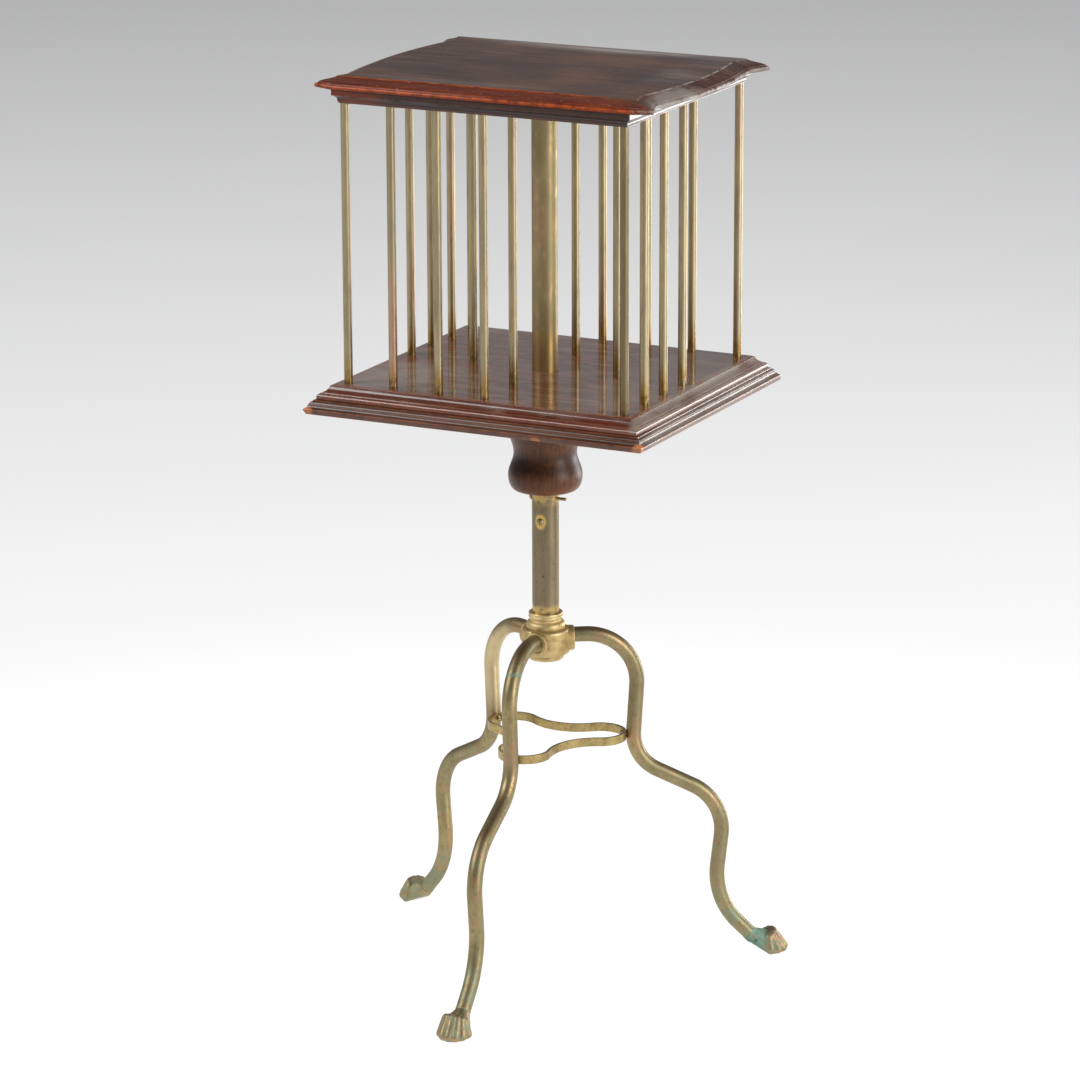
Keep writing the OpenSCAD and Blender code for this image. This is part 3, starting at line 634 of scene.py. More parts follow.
def only(piece: bpy.types.Object) -> None:
    """Makes one piece the only one selected, and active.

    Args:
        piece: The piece.
    """
    nothing_selected()
    piece.select_set(True)
    bpy.context.view_layer.objects.active = piece


def place_in_mesh(piece: bpy.types.Object) -> None:
    """Applies a piece's place, turn and size to its mesh."""
    only(piece)
    bpy.ops.object.transform_apply(location=True, rotation=True, scale=True)


def pick(piece: bpy.types.Object, chosen: Iterable[int], kind: str = "VERT") -> None:
    """Selects vertices, edges or faces by index, and goes to edit mode.

    Args:
        piece: The piece.
        chosen: The indices.
        kind: VERT, EDGE or FACE.
    """
    only(piece)
    bpy.ops.object.mode_set(mode="EDIT")
    bpy.ops.mesh.select_mode(type=kind)
    bpy.ops.mesh.select_all(action="DESELECT")
    bpy.ops.object.mode_set(mode="OBJECT")
    parts = {"VERT": piece.data.vertices, "EDGE": piece.data.edges, "FACE": piece.data.polygons}[kind]
    for i in chosen:
        parts[i].select = True
    bpy.ops.object.mode_set(mode="EDIT")


def closed_up(piece: bpy.types.Object, angle: float = 32.0) -> None:
    """Merges doubles, points the faces outwards and shades smooth up to an angle.

    Args:
        piece: The piece.
        angle: Edges sharper than this, in degrees, stay sharp.
    """
    only(piece)
    bpy.ops.object.mode_set(mode="EDIT")
    bpy.ops.mesh.select_all(action="SELECT")
    bpy.ops.mesh.remove_doubles(threshold=1e-6)
    bpy.ops.mesh.normals_make_consistent(inside=False)
    bpy.ops.object.mode_set(mode="OBJECT")
    bpy.ops.object.shade_smooth_by_angle(angle=math.radians(angle))


def raise_rows(piece: bpy.types.Object, rows: Sequence[Row]) -> None:
    """Extrudes a flat outline upwards row by row, sizing each ring to its row.

    Args:
        piece: A piece whose single face has the first row's size and height.
        rows: The rings, the first one being the outline itself.
    """
    pick(piece, [0], "FACE")
    for below, row in zip(rows, rows[1:]):
        bpy.ops.mesh.extrude_region_move(TRANSFORM_OT_translate={"value": (0, 0, (row.z - below.z) * MM)})
        bpy.ops.transform.resize(value=(row.x / below.x, row.y / below.y, 1), center_override=(0, 0, 0))
    bpy.ops.object.mode_set(mode="OBJECT")


def write_marks(piece: bpy.types.Object, rows: Sequence[Row]) -> None:
    """Writes each ring's wear and edge shares to the mesh as attributes.

    Args:
        piece: A piece raised from the rows.
        rows: Its rings.
    """
    heights = [round(r.z, 3) for r in rows]
    wear, edge = [], []
    for v in piece.data.vertices:
        z = round(v.co.z / MM, 3)
        near = min(range(len(rows)), key=lambda i: abs(heights[i] - z))
        wear.append(rows[near].wear)
        edge.append(rows[near].edge)
    for name, values in (("wear", wear), ("edge", edge)):
        piece.data.attributes.new(name, "FLOAT", "POINT").data.foreach_set("value", values)


def write_hollows(piece: bpy.types.Object, reach: float, passes: int = 3) -> None:
    """Marks hollows and ridges by how far each vertex lies under or over its neighbours.

    Args:
        piece: The piece.
        reach: The depth in mm that counts as fully hollow or fully worn.
        passes: How many times each depth is evened out with its neighbours.
    """
    mesh = piece.data
    mean = [Vector() for _ in mesh.vertices]
    count = [0] * len(mesh.vertices)
    for e in mesh.edges:
        a, b = e.vertices
        mean[a] += mesh.vertices[b].co
        mean[b] += mesh.vertices[a].co
        count[a] += 1
        count[b] += 1
    depth = [((m / max(n, 1)) - v.co).dot(v.normal) / (reach * MM) for m, n, v in zip(mean, count, mesh.vertices)]
    for _ in range(passes):
        total = list(depth)
        for e in mesh.edges:
            a, b = e.vertices
            total[a] += depth[b]
            total[b] += depth[a]
        depth = [t / (n + 1) for t, n in zip(total, count)]
    for name, sign in (("hollow", 1), ("wear", -1)):
        if name in mesh.attributes:
            mesh.attributes.remove(mesh.attributes[name])
        shares = [min(1.0, max(0.0, sign * d)) for d in depth]
        mesh.attributes.new(name, "FLOAT", "POINT").data.foreach_set("value", shares)


def curve(p: Pair, q: Pair, sag: float, steps: int) -> list[Pair]:
    """Points of a moulding from p up to q, hollow by sag or rounded where it is negative.

    Args:
        p: Stand-out and height of the lower end.
        q: The upper end.
        sag: The depth of the hollow in mm.
        steps: How many lengths the curve has.

    Returns:
        The points, both ends included.
    """
    dx, dz = q[0] - p[0], q[1] - p[1]
    far = math.hypot(dx, dz)
    ox, oz = dz / far, -dx / far
    made = []
    for i in range(steps + 1):
        t = i / steps
        s = sag * math.sin(math.pi * t)
        made.append((p[0] + dx * t - ox * s, p[1] + dz * t - oz * s))
    return made


def dress(piece: bpy.types.Object, material: bpy.types.Material) -> None:
    """Gives a piece one material all over."""
    piece.data.materials.clear()
    piece.data.materials.append(material)


@dataclass
class Maker:
    """What every sub-assembly shares: the frame, the finishes, and how a piece is handed over to its body."""

    frame: dict
    finishes: Finishes

    def hand_over(self, piece: bpy.types.Object, slot: str, body: Body, nodes: Sequence[str]) -> None:
        """Dresses a finished piece and ties it to its body and CAD nodes.

        Args:
            piece: The piece.
            slot: The record's material slot.
            body: The body that it rides on.
            nodes: The CAD nodes that it stands for.
        """
        dress(piece, self.finishes.of(slot))
        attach(piece, body.value)
        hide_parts(*nodes)
        LOG.info("%s: %d faces for %s", piece.name, len(piece.data.polygons), ", ".join(nodes))

    def keep(self, slot: str, nodes: Iterable[str]) -> None:
        """Dresses CAD nodes whose shape is right as it is.

        Args:
            slot: The record's material slot.
            nodes: The CAD nodes.
        """
        for name in nodes:
            shown = self.frame["nodes"][name]
            dress(shown, self.finishes.of(slot))
            LOG.info("%s: kept from the CAD model", name)


# ---- the carousel's boards


@dataclass
class MouldedBoard(Maker):
    """A rectangular board with a moulded edge, mitred at its corners."""

    name: str = "board"
    node: str = ""
    slot: str = ""
    half_x: float = 150.0
    half_y: float = 135.0
    foot: float = 0.0
    profile: tuple[EdgePoint, ...] = ()

    def rows(self) -> list[Row]:
        """The board's rings, from its underside up."""
        return [Row(self.half_x + o, self.half_y + o, self.foot + z, wear, edge) for o, z, wear, edge in self.profile]

    def build(self) -> bpy.types.Object:
        """Models the board.

        Returns:
            The finished piece.
        """
        rows = self.rows()
        nothing_selected()
        bpy.ops.mesh.primitive_plane_add(size=2, location=(0, 0, rows[0].z * MM))
        piece = bpy.context.object
        piece.name = piece.data.name = self.name
        piece.scale = (rows[0].x * MM, rows[0].y * MM, 1)
        place_in_mesh(piece)
        raise_rows(piece, rows)
        self.chip(piece)
        write_marks(piece, rows)
        closed_up(piece, angle=24)
        self.hand_over(piece, self.slot, Body.CAROUSEL, [self.node])
        return piece

    def chip(self, piece: bpy.types.Object) -> None:
        """Knocks the board's corners in where it has been bruised, which a plain board isn't."""


@dataclass
class BruisedBoard(MouldedBoard):
    """The moulded board under the shelf, whose lower corners are knocked back to bare wood."""

    bruise_h: float = 2.4
    left_bruise: float = 1.6
    right_bruise: float = 1.1

    def chip(self, piece: bpy.types.Object) -> None:
        """Pushes the lowest rings of the two front corners in.

        Args:
            piece: The board, raised but not yet closed up.
        """
        under = (self.foot + self.bruise_h) * MM
        for side, depth in ((-1, self.left_bruise), (1, self.right_bruise)):
            low = [v.index for v in piece.data.vertices if v.co.x * side > 0 > v.co.y and v.co.z < under]
            pick(piece, low)
            bpy.ops.transform.translate(value=(-side * depth * MM, depth * MM, 0))
        bpy.ops.object.mode_set(mode="OBJECT")


def shelf_profile() -> tuple[EdgePoint, ...]:
    """Draws the shelf board's edge: a band, a small round, a fillet, a hollow and the arris.

    Returns:
        Stand-out, height, wear and edge colour of each ring, from the bottom up.
    """
    hollow = [(o, z, 0.0, 1.0) for o, z in curve((8.1, 6.2), (2.6, 12.0), 1.0, 7)]
    small = [(o, z, 0.0, 1.0) for o, z in curve((11.7, 3.9), (9.1, 5.5), -0.5, 4)]
    return (
        (11.5, 0.0, 0.0, 1.0),
        (11.9, 0.3, 0.2, 1.0),
        (12.0, 0.6, 0.2, 1.0),
        (12.0, 3.0, 0.3, 1.0),
        (11.95, 3.5, 1.0, 1.0),
        *small,
        (8.9, 5.55, 0.9, 1.0),
        (8.4, 5.6, 0.3, 1.0),
        *hollow,
        (1.6, 12.15, 0.0, 1.0),
        (1.2, 12.3, 0.0, 0.9),
        (1.0, 12.6, 0.25, 0.8),
        (0.7, 12.85, 0.9, 0.4),
        (0.0, 13.0, 0.3, 0.0),
        (-0.9, 13.0, 0.0, 0.0),
    )


def moulding_profile() -> tuple[EdgePoint, ...]:
    """Draws the lower board's edge: a worn band, a hollow, a fillet and a round up to the shelf board.

    Returns:
        Stand-out, height, wear and edge colour of each ring, from the bottom up.
    """
    hollow = [(o, z, 0.0, 0.0) for o, z in curve((20.6, 5.6), (17.9, 8.6), 0.55, 5)]
    small = [(o, z, 0.0, 0.0) for o, z in curve((17.2, 9.5), (14.5, 12.0), -0.6, 5)]
    return (
        (20.3, 0.0, 0.5, 0.0),
        (20.9, 0.2, 0.9, 0.0),
        (21.3, 0.7, 0.8, 0.0),
        (21.4, 1.3, 0.3, 0.0),
        (21.4, 4.4, 0.1, 0.0),
        (21.3, 4.9, 0.8, 0.0),
        (21.0, 5.3, 0.7, 0.0),
        *hollow,
        (17.8, 8.9, 0.4, 0.0),
        (17.6, 9.3, 0.9, 0.0),
        *small,
        (14.4, 12.5, 0.7, 0.0),
        (13.9, 12.9, 0.2, 0.0),
        (13.2, 13.0, 0.0, 0.0),
    )


def frieze_profile() -> tuple[EdgePoint, ...]:
    """Draws the frieze's edge: a bead and a hollow under a plain band.

    Returns:
        Stand-out, height, wear and edge colour of each ring, from the bottom up.
    """
    hollow = [(o, z, 0.0, 0.0) for o, z in curve((-4.1, 2.1), (-1.6, 6.7), 0.9, 6)]
    return (
        (-5.2, 0.0, 0.0, 0.0),
        (-4.85, 0.25, 0.3, 0.0),
        (-4.8, 0.7, 0.6, 0.0),
        (-4.6, 1.4, 0.5, 0.0),
        *hollow,
        (-1.2, 7.0, 0.2, 0.0),
        (-0.5, 7.1, 0.5, 0.0),
        (-0.05, 7.4, 0.6, 0.0),
        (0.0, 8.0, 0.1, 0.0),
        (0.0, 12.2, 0.0, 0.0),
        (-0.3, 12.5, 0.0, 0.0),
    )


# The plan of the top is thickened by this much first, so that it has an upper and a lower face to draw in.
FIRST_LIFT = 0.02


@dataclass
class SerpentineTop(Maker):
    """The top board: straight front and back, bowed sides with flared ears, canted corners, a bead under an ogee."""

    ear_x: float = 169.5
    top_y: float = 136.0
    ear_l: float = 30.0
    ear_flare: float = 9.0
    bow: float = 10.0
    cant_angle: float = 22.0
    cant_l: float = 3.0
    mould: float = 16.0
    foot: float = 857.73
    thick: float = 10.999
    bead_z: float = 2.1
    bead_in: float = 1.7
    ogee_foot: Pair = (5.3, 2.9)
    ogee_size: Pair = (5.2, 12.1)
    bow_steps: int = 14
    flare: tuple[Pair, ...] = ((0.06, 0.01), (0.12, 0.04), (0.2, 0.085), (0.3, 0.15), (1.0, 1.0))
    ogee_steps: int = 14

    def cant(self) -> Pair:
        """Works out a canted corner, which is cant_l long on the flat and longer at the bead.

        Returns:
            How far it runs along X and along Y at the bead.
        """
        (near, low), (far, high) = self.flare[-2:]
        angle = math.radians(self.cant_angle)
        flare = math.atan((high - low) * self.ear_flare / ((far - near) * self.ear_l))
        long = self.cant_l + self.mould * (math.tan(angle / 2) + math.tan((math.pi / 2 - angle + flare) / 2))
        return long * math.cos(angle), long * math.sin(angle)

    def side(self) -> list[Pair]:
        """Draws the right side's plan, bowed in the middle and flared at both ears.

        Returns:
            Its points, from the front corner to the back one.
        """
        n = self.bow_steps
        bow_y, bow_x = self.top_y - self.cant()[1] - self.ear_l, self.ear_x - self.ear_flare
        bowed = [(bow_x + self.bow * (1 - (i / n) ** 2), bow_y * i / n) for i in range(-n, n + 1)]
        flared = [(bow_x + self.ear_flare * out, bow_y + self.ear_l * t) for t, out in self.flare]
        return [(x, -y) for x, y in reversed(flared)] + bowed + flared

    def bead(self, way: int, wear: Pair) -> list[Point]:
        """Draws half of the round bead, from its nose.

        Args:
            way: 1 for the upper half and -1 for the lower one.
            wear: The wear near the nose and past it.

        Returns:
            Height, distance drawn in and wear of each ring.
        """
        rings = []
        for turn in range(0, 91, 15):
            a = math.radians(turn)
            height = self.bead_z + way * self.bead_z * math.sin(a)
            rings.append((height, self.bead_in * (1 - math.cos(a)), wear[0] if turn < 50 else wear[1]))
        return rings

    def upper(self) -> list[Point]:
        """Draws the edge from the bead's nose over a fillet and the ogee to the flat top.

        Returns:
            Height, distance drawn in and wear of each ring.
        """
        rings = self.bead(1, (1.0, 0.5))
        rings[0] = (self.bead_z + FIRST_LIFT, 0.0, 1.0)
        rings += [(4.3, 2.2, 0.0), (4.7, 2.4, 0.0), (5.1, 2.5, 0.3), (*self.ogee_foot, 0.5)]
        (foot, inner), (rise, run) = self.ogee_foot, self.ogee_size
        for i in range(1, self.ogee_steps):
            t = i / self.ogee_steps
            ease = (1 - math.cos(math.pi * t)) / 2
            rings.append((foot + rise * t, inner + run * (0.3 * t + 0.7 * ease), 0.0))
        arris = [(10.55, 15.1, 0.6), (10.8, 15.4, 1.0), (10.95, 15.9, 0.9)]
        return rings + arris + [(self.thick - 0.01, 16.6, 0.3), (self.thick, 18.0, 0.0)]

    def lower(self) -> list[Point]:
        """Height, distance drawn in and wear of each ring from the bead's nose down to the underside."""
        return self.bead(-1, (0.6, 0.6)) + [(0.0, 4.0, 0.0)]

    def plan(self) -> bpy.types.Object:
        """Models the flat plan at the bead's nose.

        Returns:
            One face with the top's outline.
        """
        nothing_selected()
        bpy.ops.mesh.primitive_plane_add(size=2, location=(0, 0, (self.foot + self.bead_z) * MM))
        piece = bpy.context.object
        piece.name = piece.data.name = "top_with_moulded_edge"
        piece.scale = (self.ear_x * MM, self.top_y * MM, 1)
        place_in_mesh(piece)
        pick(piece, [v.index for v in piece.data.vertices])
        bpy.ops.mesh.bevel(offset=self.cant()[0] * MM, offset_type="OFFSET", affect="VERTICES", segments=1)
        bpy.ops.mesh.select_all(action="SELECT")
        bpy.ops.mesh.delete(type="ONLY_FACE")
        bpy.ops.object.mode_set(mode="OBJECT")
        mesh = piece.data
        outer = {v.index for v in mesh.vertices if abs(abs(v.co.x) - self.ear_x * MM) < NEAR}
        edges = [e.index for e in mesh.edges if outer.issuperset(e.vertices)]
        points = self.side()
        pick(piece, edges, "EDGE")
        bpy.ops.mesh.subdivide(number_cuts=len(points) - 2)
        bpy.ops.mesh.select_all(action="SELECT")
        bpy.ops.mesh.edge_face_add()
        bpy.ops.object.mode_set(mode="OBJECT")
        for way in (-1, 1):
            edge = [v for v in mesh.vertices if abs(v.co.x * way - self.ear_x * MM) < NEAR]
            found = sorted((v.co.y, v.index, v.co.x) for v in edge)
            for (y, index, x), (to_x, to_y) in zip(found, points):
                pick(piece, [index])
                bpy.ops.transform.translate(value=(way * to_x * MM - x, to_y * MM - y, 0))
                bpy.ops.object.mode_set(mode="OBJECT")
        return piece

    def draw_in(self, piece: bpy.types.Object, face: int, rings: Sequence[Point]) -> None:
        """Insets one face ring by ring, each edge drawn in evenly.

        Args:
            piece: The top.
            face: The face, level with the first ring.
            rings: Height, distance drawn in and wear of each ring.
        """
        pick(piece, [face], "FACE")
        for (z0, d0, _), (z1, d1, _) in zip(rings, rings[1:]):
            width, rise = (d1 - d0) * MM, abs(z1 - z0) * MM
            bpy.ops.mesh.inset(thickness=width, depth=rise, use_boundary=True, use_even_offset=True)
        bpy.ops.object.mode_set(mode="OBJECT")

    def build(self) -> bpy.types.Object:
        """Models the top.

        Returns:
            The finished piece.
        """
        piece = self.plan()
        pick(piece, [0], "FACE")
        bpy.ops.mesh.normals_make_consistent(inside=False)
        bpy.ops.mesh.extrude_region_move(TRANSFORM_OT_translate={"value": (0, 0, FIRST_LIFT * MM)})
        bpy.ops.mesh.select_all(action="SELECT")
        bpy.ops.mesh.normals_make_consistent(inside=False)
        bpy.ops.object.mode_set(mode="OBJECT")
        for choose, rings in ((max, self.upper()), (min, self.lower())):
            flat = choose((f for f in piece.data.polygons if len(f.vertices) > 4), key=lambda f: f.center.z)
            self.draw_in(piece, flat.index, rings)
        rings = (*self.lower()[:-1], *self.upper())
        marks = [Row(0, 0, self.foot + z, wear, 0.0 if d > self.mould + 1 else 1.0) for z, d, wear in rings]
        write_marks(piece, marks)
        closed_up(piece, angle=30)
        self.hand_over(piece, "top_mahogany", Body.CAROUSEL, ["top_board"])
        return piece


# ---- turned and cast pieces


def turned(name: str, foot: float, profile: Sequence[Point], sides: int = 96) -> bpy.types.Object:
    """Models a round piece ring by ring, as on a lathe.

    Args:
        name: The piece's name.
        foot: The height that the profile starts from, in mm.
        profile: Radius, height and wear of each ring, from the bottom up.
        sides: How many sides each ring has.

    Returns:
        The piece, closed, with its wear marked.
    """
    rows = [Row(r, r, foot + z, w) for r, z, w in profile]
    nothing_selected()
    start = {"radius": rows[0].x * MM, "location": (0, 0, rows[0].z * MM)}
    bpy.ops.mesh.primitive_circle_add(vertices=sides, fill_type="NGON", **start)
    piece = bpy.context.object
    piece.name = piece.data.name = name
    place_in_mesh(piece)
    raise_rows(piece, rows)
    write_marks(piece, rows)
    closed_up(piece, angle=40)
    return piece


@dataclass
class TurnedBoss(Maker):
    """The mahogany boss that carries the carousel: a round foot, a bulge, a waist and a flare up to the board."""

    foot: float = 470.23
    tall: float = 88.0
    sole_r: float = 28.0
    bulge_r: float = 35.0
    bulge_h: float = 14.0
    waist_r: float = 29.75
    waist_h: float = 35.5
    flare_r: float = 37.0
    flare_h: float = 64.5
    rim_h: float = 21.4
    steps: int = 18

    def profile(self) -> list[Point]:
        """Draws the boss from its sole up.

        Returns:
            Radius, height and wear of each ring.
        """
        points = [(13.5, 0.0, 0.2), (self.sole_r - 1, 0.0, 0.3), (self.sole_r, 0.1, 0.9)]
        shares = [i / self.steps for i in range(1, self.steps + 1)]
        for t in shares:
            a = math.radians(90 * t)
            r = self.sole_r + (self.bulge_r - self.sole_r) * math.sin(a)
            points.append((r, self.bulge_h * (1 - math.cos(a)), 0.6 if t < 0.3 else 0.0))
        for t in shares:
            r = self.waist_r + (self.bulge_r - self.waist_r) * (1 + math.cos(math.pi * t)) / 2
            points.append((r, self.bulge_h + (self.waist_h - self.bulge_h) * t, 0.0))
        for t in shares:
            r = self.waist_r + (self.flare_r - self.waist_r) * (1 - math.cos(math.pi * t)) / 2
            points.append((r, self.waist_h + (self.flare_h - self.waist_h) * t, 0.0))
        top = self.tall - self.rim_h
        points += [(37.05, top, 0.5), (37.4, top + 0.6, 0.2), (38.2, top + 1.1, 0.6), (38.7, top + 2.0, 0.6)]
        points += [(38.95, top + 3.6, 0.2), (39.0, top + 5.4, 0.0), (39.0, self.tall, 0.0)]
        return points

    def build(self) -> bpy.types.Object:
        """Models the boss.

        Returns:
            The finished piece.
        """
        piece = turned("turned_boss_under_shelf", self.foot, self.profile(), sides=128)
        self.hand_over(piece, "boss_mahogany", Body.CAROUSEL, ["turned_boss"])
        return piece


@dataclass
class CastHub(Maker):
    """The brass hub: a body with three leg bosses, a rounded shoulder, turned rings and a collar, over a cap."""

    foot: float = 310.43
    boss_z: float = 13.0
    cap_h: float = 6.5

    def body_profile(self) -> list[Point]:
        """Draws the hub from its lower rim up.

        Returns:
            Radius, height and wear of each ring.
        """
        body = [
            (20.6, 0.0, 0.1), (21.6, 0.2, 0.5), (22.3, 0.9, 0.8), (22.5, 1.8, 0.2), (22.5, 20.5, 0.0),
            (22.45, 21.6, 0.4), (22.1, 22.8, 0.9), (21.4, 23.7, 0.8), (20.4, 24.4, 0.3), (19.4, 24.7, 0.0),
        ]
        shoulder = [
            (18.2, 24.8, 0.0), (18.1, 25.0, 0.0), (18.35, 25.8, 0.3), (18.4, 27.0, 0.8), (18.25, 28.4, 0.5),
            (17.8, 29.7, 0.3), (17.0, 30.7, 0.2), (16.0, 31.3, 0.0), (15.0, 31.7, 0.0), (14.65, 32.0, 0.0),
        ]
        rings = [
            (14.5, 32.6, 0.0), (14.55, 33.4, 0.0), (14.8, 34.0, 0.1), (15.5, 34.4, 0.4), (16.0, 34.8, 0.8),
            (16.25, 35.5, 0.7), (16.25, 36.4, 0.3), (15.9, 36.9, 0.2), (15.75, 37.1, 0.0), (15.9, 37.3, 0.2),
            (16.2, 37.8, 0.6), (16.25, 38.8, 0.4), (16.05, 39.6, 0.9), (15.5, 40.0, 0.7), (13.2, 40.0, 0.1),
        ]
        return body + shoulder + rings

    def cap_profile(self) -> list[Point]:
        """Draws the cap under the hub, from its underside up.

        Returns:
            Radius, height and wear of each ring.
        """
        return [
            (12.0, 0.0, 0.2), (14.4, 0.1, 0.4), (15.8, 0.6, 0.8), (16.7, 1.5, 0.8), (17.2, 2.8, 0.4),
            (17.35, 4.2, 0.1), (17.35, 5.2, 0.0), (17.25, 5.8, 0.6), (16.9, 6.3, 0.3),
            (16.6, self.cap_h, 0.0), (12.0, self.cap_h, 0.0),
        ]

    def leg_boss(self, turn: float) -> bpy.types.Object:
        """Models one round boss that a leg enters, with a softened rim.

        Args:
            turn: The leg's direction in plan, in degrees.

        Returns:
            The boss, in place.
        """
        rings = [
            (12.0, 4.0, 0.0), (12.0, 25.2, 0.0), (11.9, 25.8, 0.4), (11.6, 26.3, 0.9), (11.1, 26.5, 0.7),
            (8.6, 26.5, 0.3), (8.2, 26.4, 0.9), (7.7, 26.0, 0.8), (7.3, 25.2, 0.0),
        ]
        piece = turned("leg_boss", 0.0, rings, sides=64)
        across = Matrix.Rotation(math.radians(turn), 4, "Z") @ Matrix.Rotation(math.radians(90), 4, "Y")
        piece.matrix_world = Matrix.Translation((0, 0, (self.foot + self.boss_z) * MM)) @ across
        place_in_mesh(piece)
        return piece

    def build(self) -> list[bpy.types.Object]:
        """Models the hub and its cap.

        Returns:
            Both pieces.
        """
        hub = turned("hub_casting", self.foot, self.body_profile(), sides=128)
        bosses = [self.leg_boss(turn) for turn in LEG_TURNS.values()]
        nothing_selected()
        for part in (*bosses, hub):
            part.select_set(True)
        bpy.context.view_layer.objects.active = hub
        bpy.ops.object.join()
        self.hand_over(hub, "hub_brass", Body.STAND, ["hub"])
        cap = turned("hub_end_cap", self.foot - self.cap_h, self.cap_profile(), sides=96)
        self.hand_over(cap, "hub_brass", Body.STAND, ["hub_cap"])
        return [hub, cap]


@dataclass
class PawFoot(Maker):
    """A cast brass foot: a neck on the leg's end and a fluted paw that spreads like a scallop shell."""

    leg_reach: float = 196.96
    leg_end_z: float = 19.3
    fall: float = 46.0
    leg_r: float = 7.25
    toes: int = 7
    fan: float = 84.0
    toe_r: float = 4.62
    toe_top: float = 18.6
    middle_out: float = 18.0
    web: float = 1.15
    web_top: float = 15.9
    high_fan: Pair = (5.5, 9.0)
    high_fall: float = 3.5
    low_fan: Pair = (16.0, 12.5)
    low_lift: float = 0.94
    neck_ends: Pair = (-4.0, 5.0)
    neck_wall: float = 0.2
    leg_seam: float = 0.15
    sole_lift: float = 0.001
    voxel: float = 0.42

    def drawn_over(self, name: str, balls: Sequence[tuple[Point, float]]) -> bpy.types.Object:
        """Models a skin drawn tight over balls.

        Args:
            name: The piece's name.
            balls: Middle and radius of each ball in mm, with the leg along X.

        Returns:
            The convex piece.
        """
        nothing_selected()
        for i, (at, size) in enumerate(balls):
            spot = {"radius": size * MM, "location": [a * MM for a in at]}
            bpy.ops.mesh.primitive_uv_sphere_add(segments=32, ring_count=20, **spot)
            if i == 0:
                piece = bpy.context.object
                piece.name = name
                place_in_mesh(piece)
                bpy.ops.object.mode_set(mode="EDIT")
        bpy.ops.mesh.select_all(action="SELECT")
        bpy.ops.mesh.convex_hull()
        bpy.ops.object.mode_set(mode="OBJECT")
        return piece

    def toe(self, turn: float, size: float, top: float) -> list[tuple[Point, float]]:
        """Places the two balls that one toe is drawn over.

        Args:
            turn: The toe's direction from the middle of the paw, in degrees.
            size: The radius of both balls in mm.
            top: The height of the upper ball on the foremost toe.

        Returns:
            The high ball near the middle of the paw, and the low one at its rim, sunk a little into the floor.
        """
        c, s = math.cos(math.radians(turn)), math.sin(math.radians(turn))
        middle = self.leg_reach + self.middle_out
        high = (middle + self.high_fan[0] * c, self.high_fan[1] * s, top - self.high_fall * (1 - c))
        low = (middle + self.low_fan[0] * c, self.low_fan[1] * s, self.low_lift * size)
        return [(high, size), (low, size)]

    def shape(self) -> bpy.types.Object:
        """Models the foot with the leg along X.

        Returns:
            The foot, cut square to the leg at its neck and flat underneath.
        """
        turns = [self.fan * (2 * k / (self.toes - 1) - 1) for k in range(self.toes)]
        a = math.radians(self.fall)
        along = Vector((math.cos(a), 0, -math.sin(a)))
        end = Vector((self.leg_reach, 0, self.leg_end_z))
        body = [(tuple(end + 4 * along), self.leg_r - 0.05)]
        for turn in turns:
            body += self.toe(turn, self.toe_r - self.web, self.web_top)
        lumps = [self.drawn_over("body", body)]
        lumps += [self.drawn_over("toe", self.toe(turn, self.toe_r, self.toe_top)) for turn in turns]
        neck = [(tuple(end + way * along), self.leg_r + self.neck_wall) for way in self.neck_ends]
        lumps.append(self.drawn_over("neck", neck))
        nothing_selected()
        for lump in lumps:
            lump.select_set(True)
        bpy.context.view_layer.objects.active = lumps[0]
        bpy.ops.object.join()
        paw = bpy.context.object
        remesh = paw.modifiers.new("one_skin", "REMESH")
        remesh.mode = "VOXEL"
        remesh.voxel_size = self.voxel * MM
        smooth = paw.modifiers.new("cast_soft", "SMOOTH")
        smooth.factor = 0.5
        smooth.iterations = 4
        for step in ("one_skin", "cast_soft"):
            bpy.ops.object.modifier_apply(modifier=step)
        bpy.ops.object.mode_set(mode="EDIT")
        # The neck stops at a fine seam by the leg's end, and the sole is cut a hair over the floor.
        sole, up = Vector((0, 0, self.sole_lift)), Vector((0, 0, 1))
        for point, way in (((end + self.leg_seam * along) * MM, along), (sole * MM, up)):
            bpy.ops.mesh.select_all(action="SELECT")
            bpy.ops.mesh.bisect(plane_co=point, plane_no=way, use_fill=True, clear_inner=True, threshold=1e-7)
        bpy.ops.object.mode_set(mode="OBJECT")
        return paw

    def build(self) -> list[bpy.types.Object]:
        """Models one foot and copies it to each leg.

        Returns:
            The three feet.
        """
        paw = self.shape()
        write_hollows(paw, reach=0.05)
        feet = []
        for where, turn in LEG_TURNS.items():
            foot = paw.copy()
            foot.data = paw.data.copy()
            bpy.context.collection.objects.link(foot)
            foot.name = foot.data.name = f"paw_foot_{where}"
            foot.matrix_world = Matrix.Rotation(math.radians(turn), 4, "Z")
            place_in_mesh(foot)
            closed_up(foot, angle=60)
            self.hand_over(foot, "foot_brass", Body.STAND, [f"foot_{where}"])
            feet.append(foot)
        bpy.data.objects.remove(paw)
        return feet


# ---- pieces kept from the CAD model


@dataclass
class RodCage(Maker):
    """The brass rods and the middle column between the boards."""

    def build(self) -> None:
        """Dresses the rods, the column and the bearing inside it."""
        rods = [f"rod_{row}_{i}" for row in ROD_ROWS for i in range(1, 5)] + [f"rod_inner_{row}" for row in ROD_ROWS]
        self.keep("rod_brass", rods)
        self.keep("column_brass", ["column_tube"])
        self.keep("bearing_brass", ["lower_bush", "upper_bush"])
        self.keep("bright_steel", ["shelf_screws", "top_screws"])


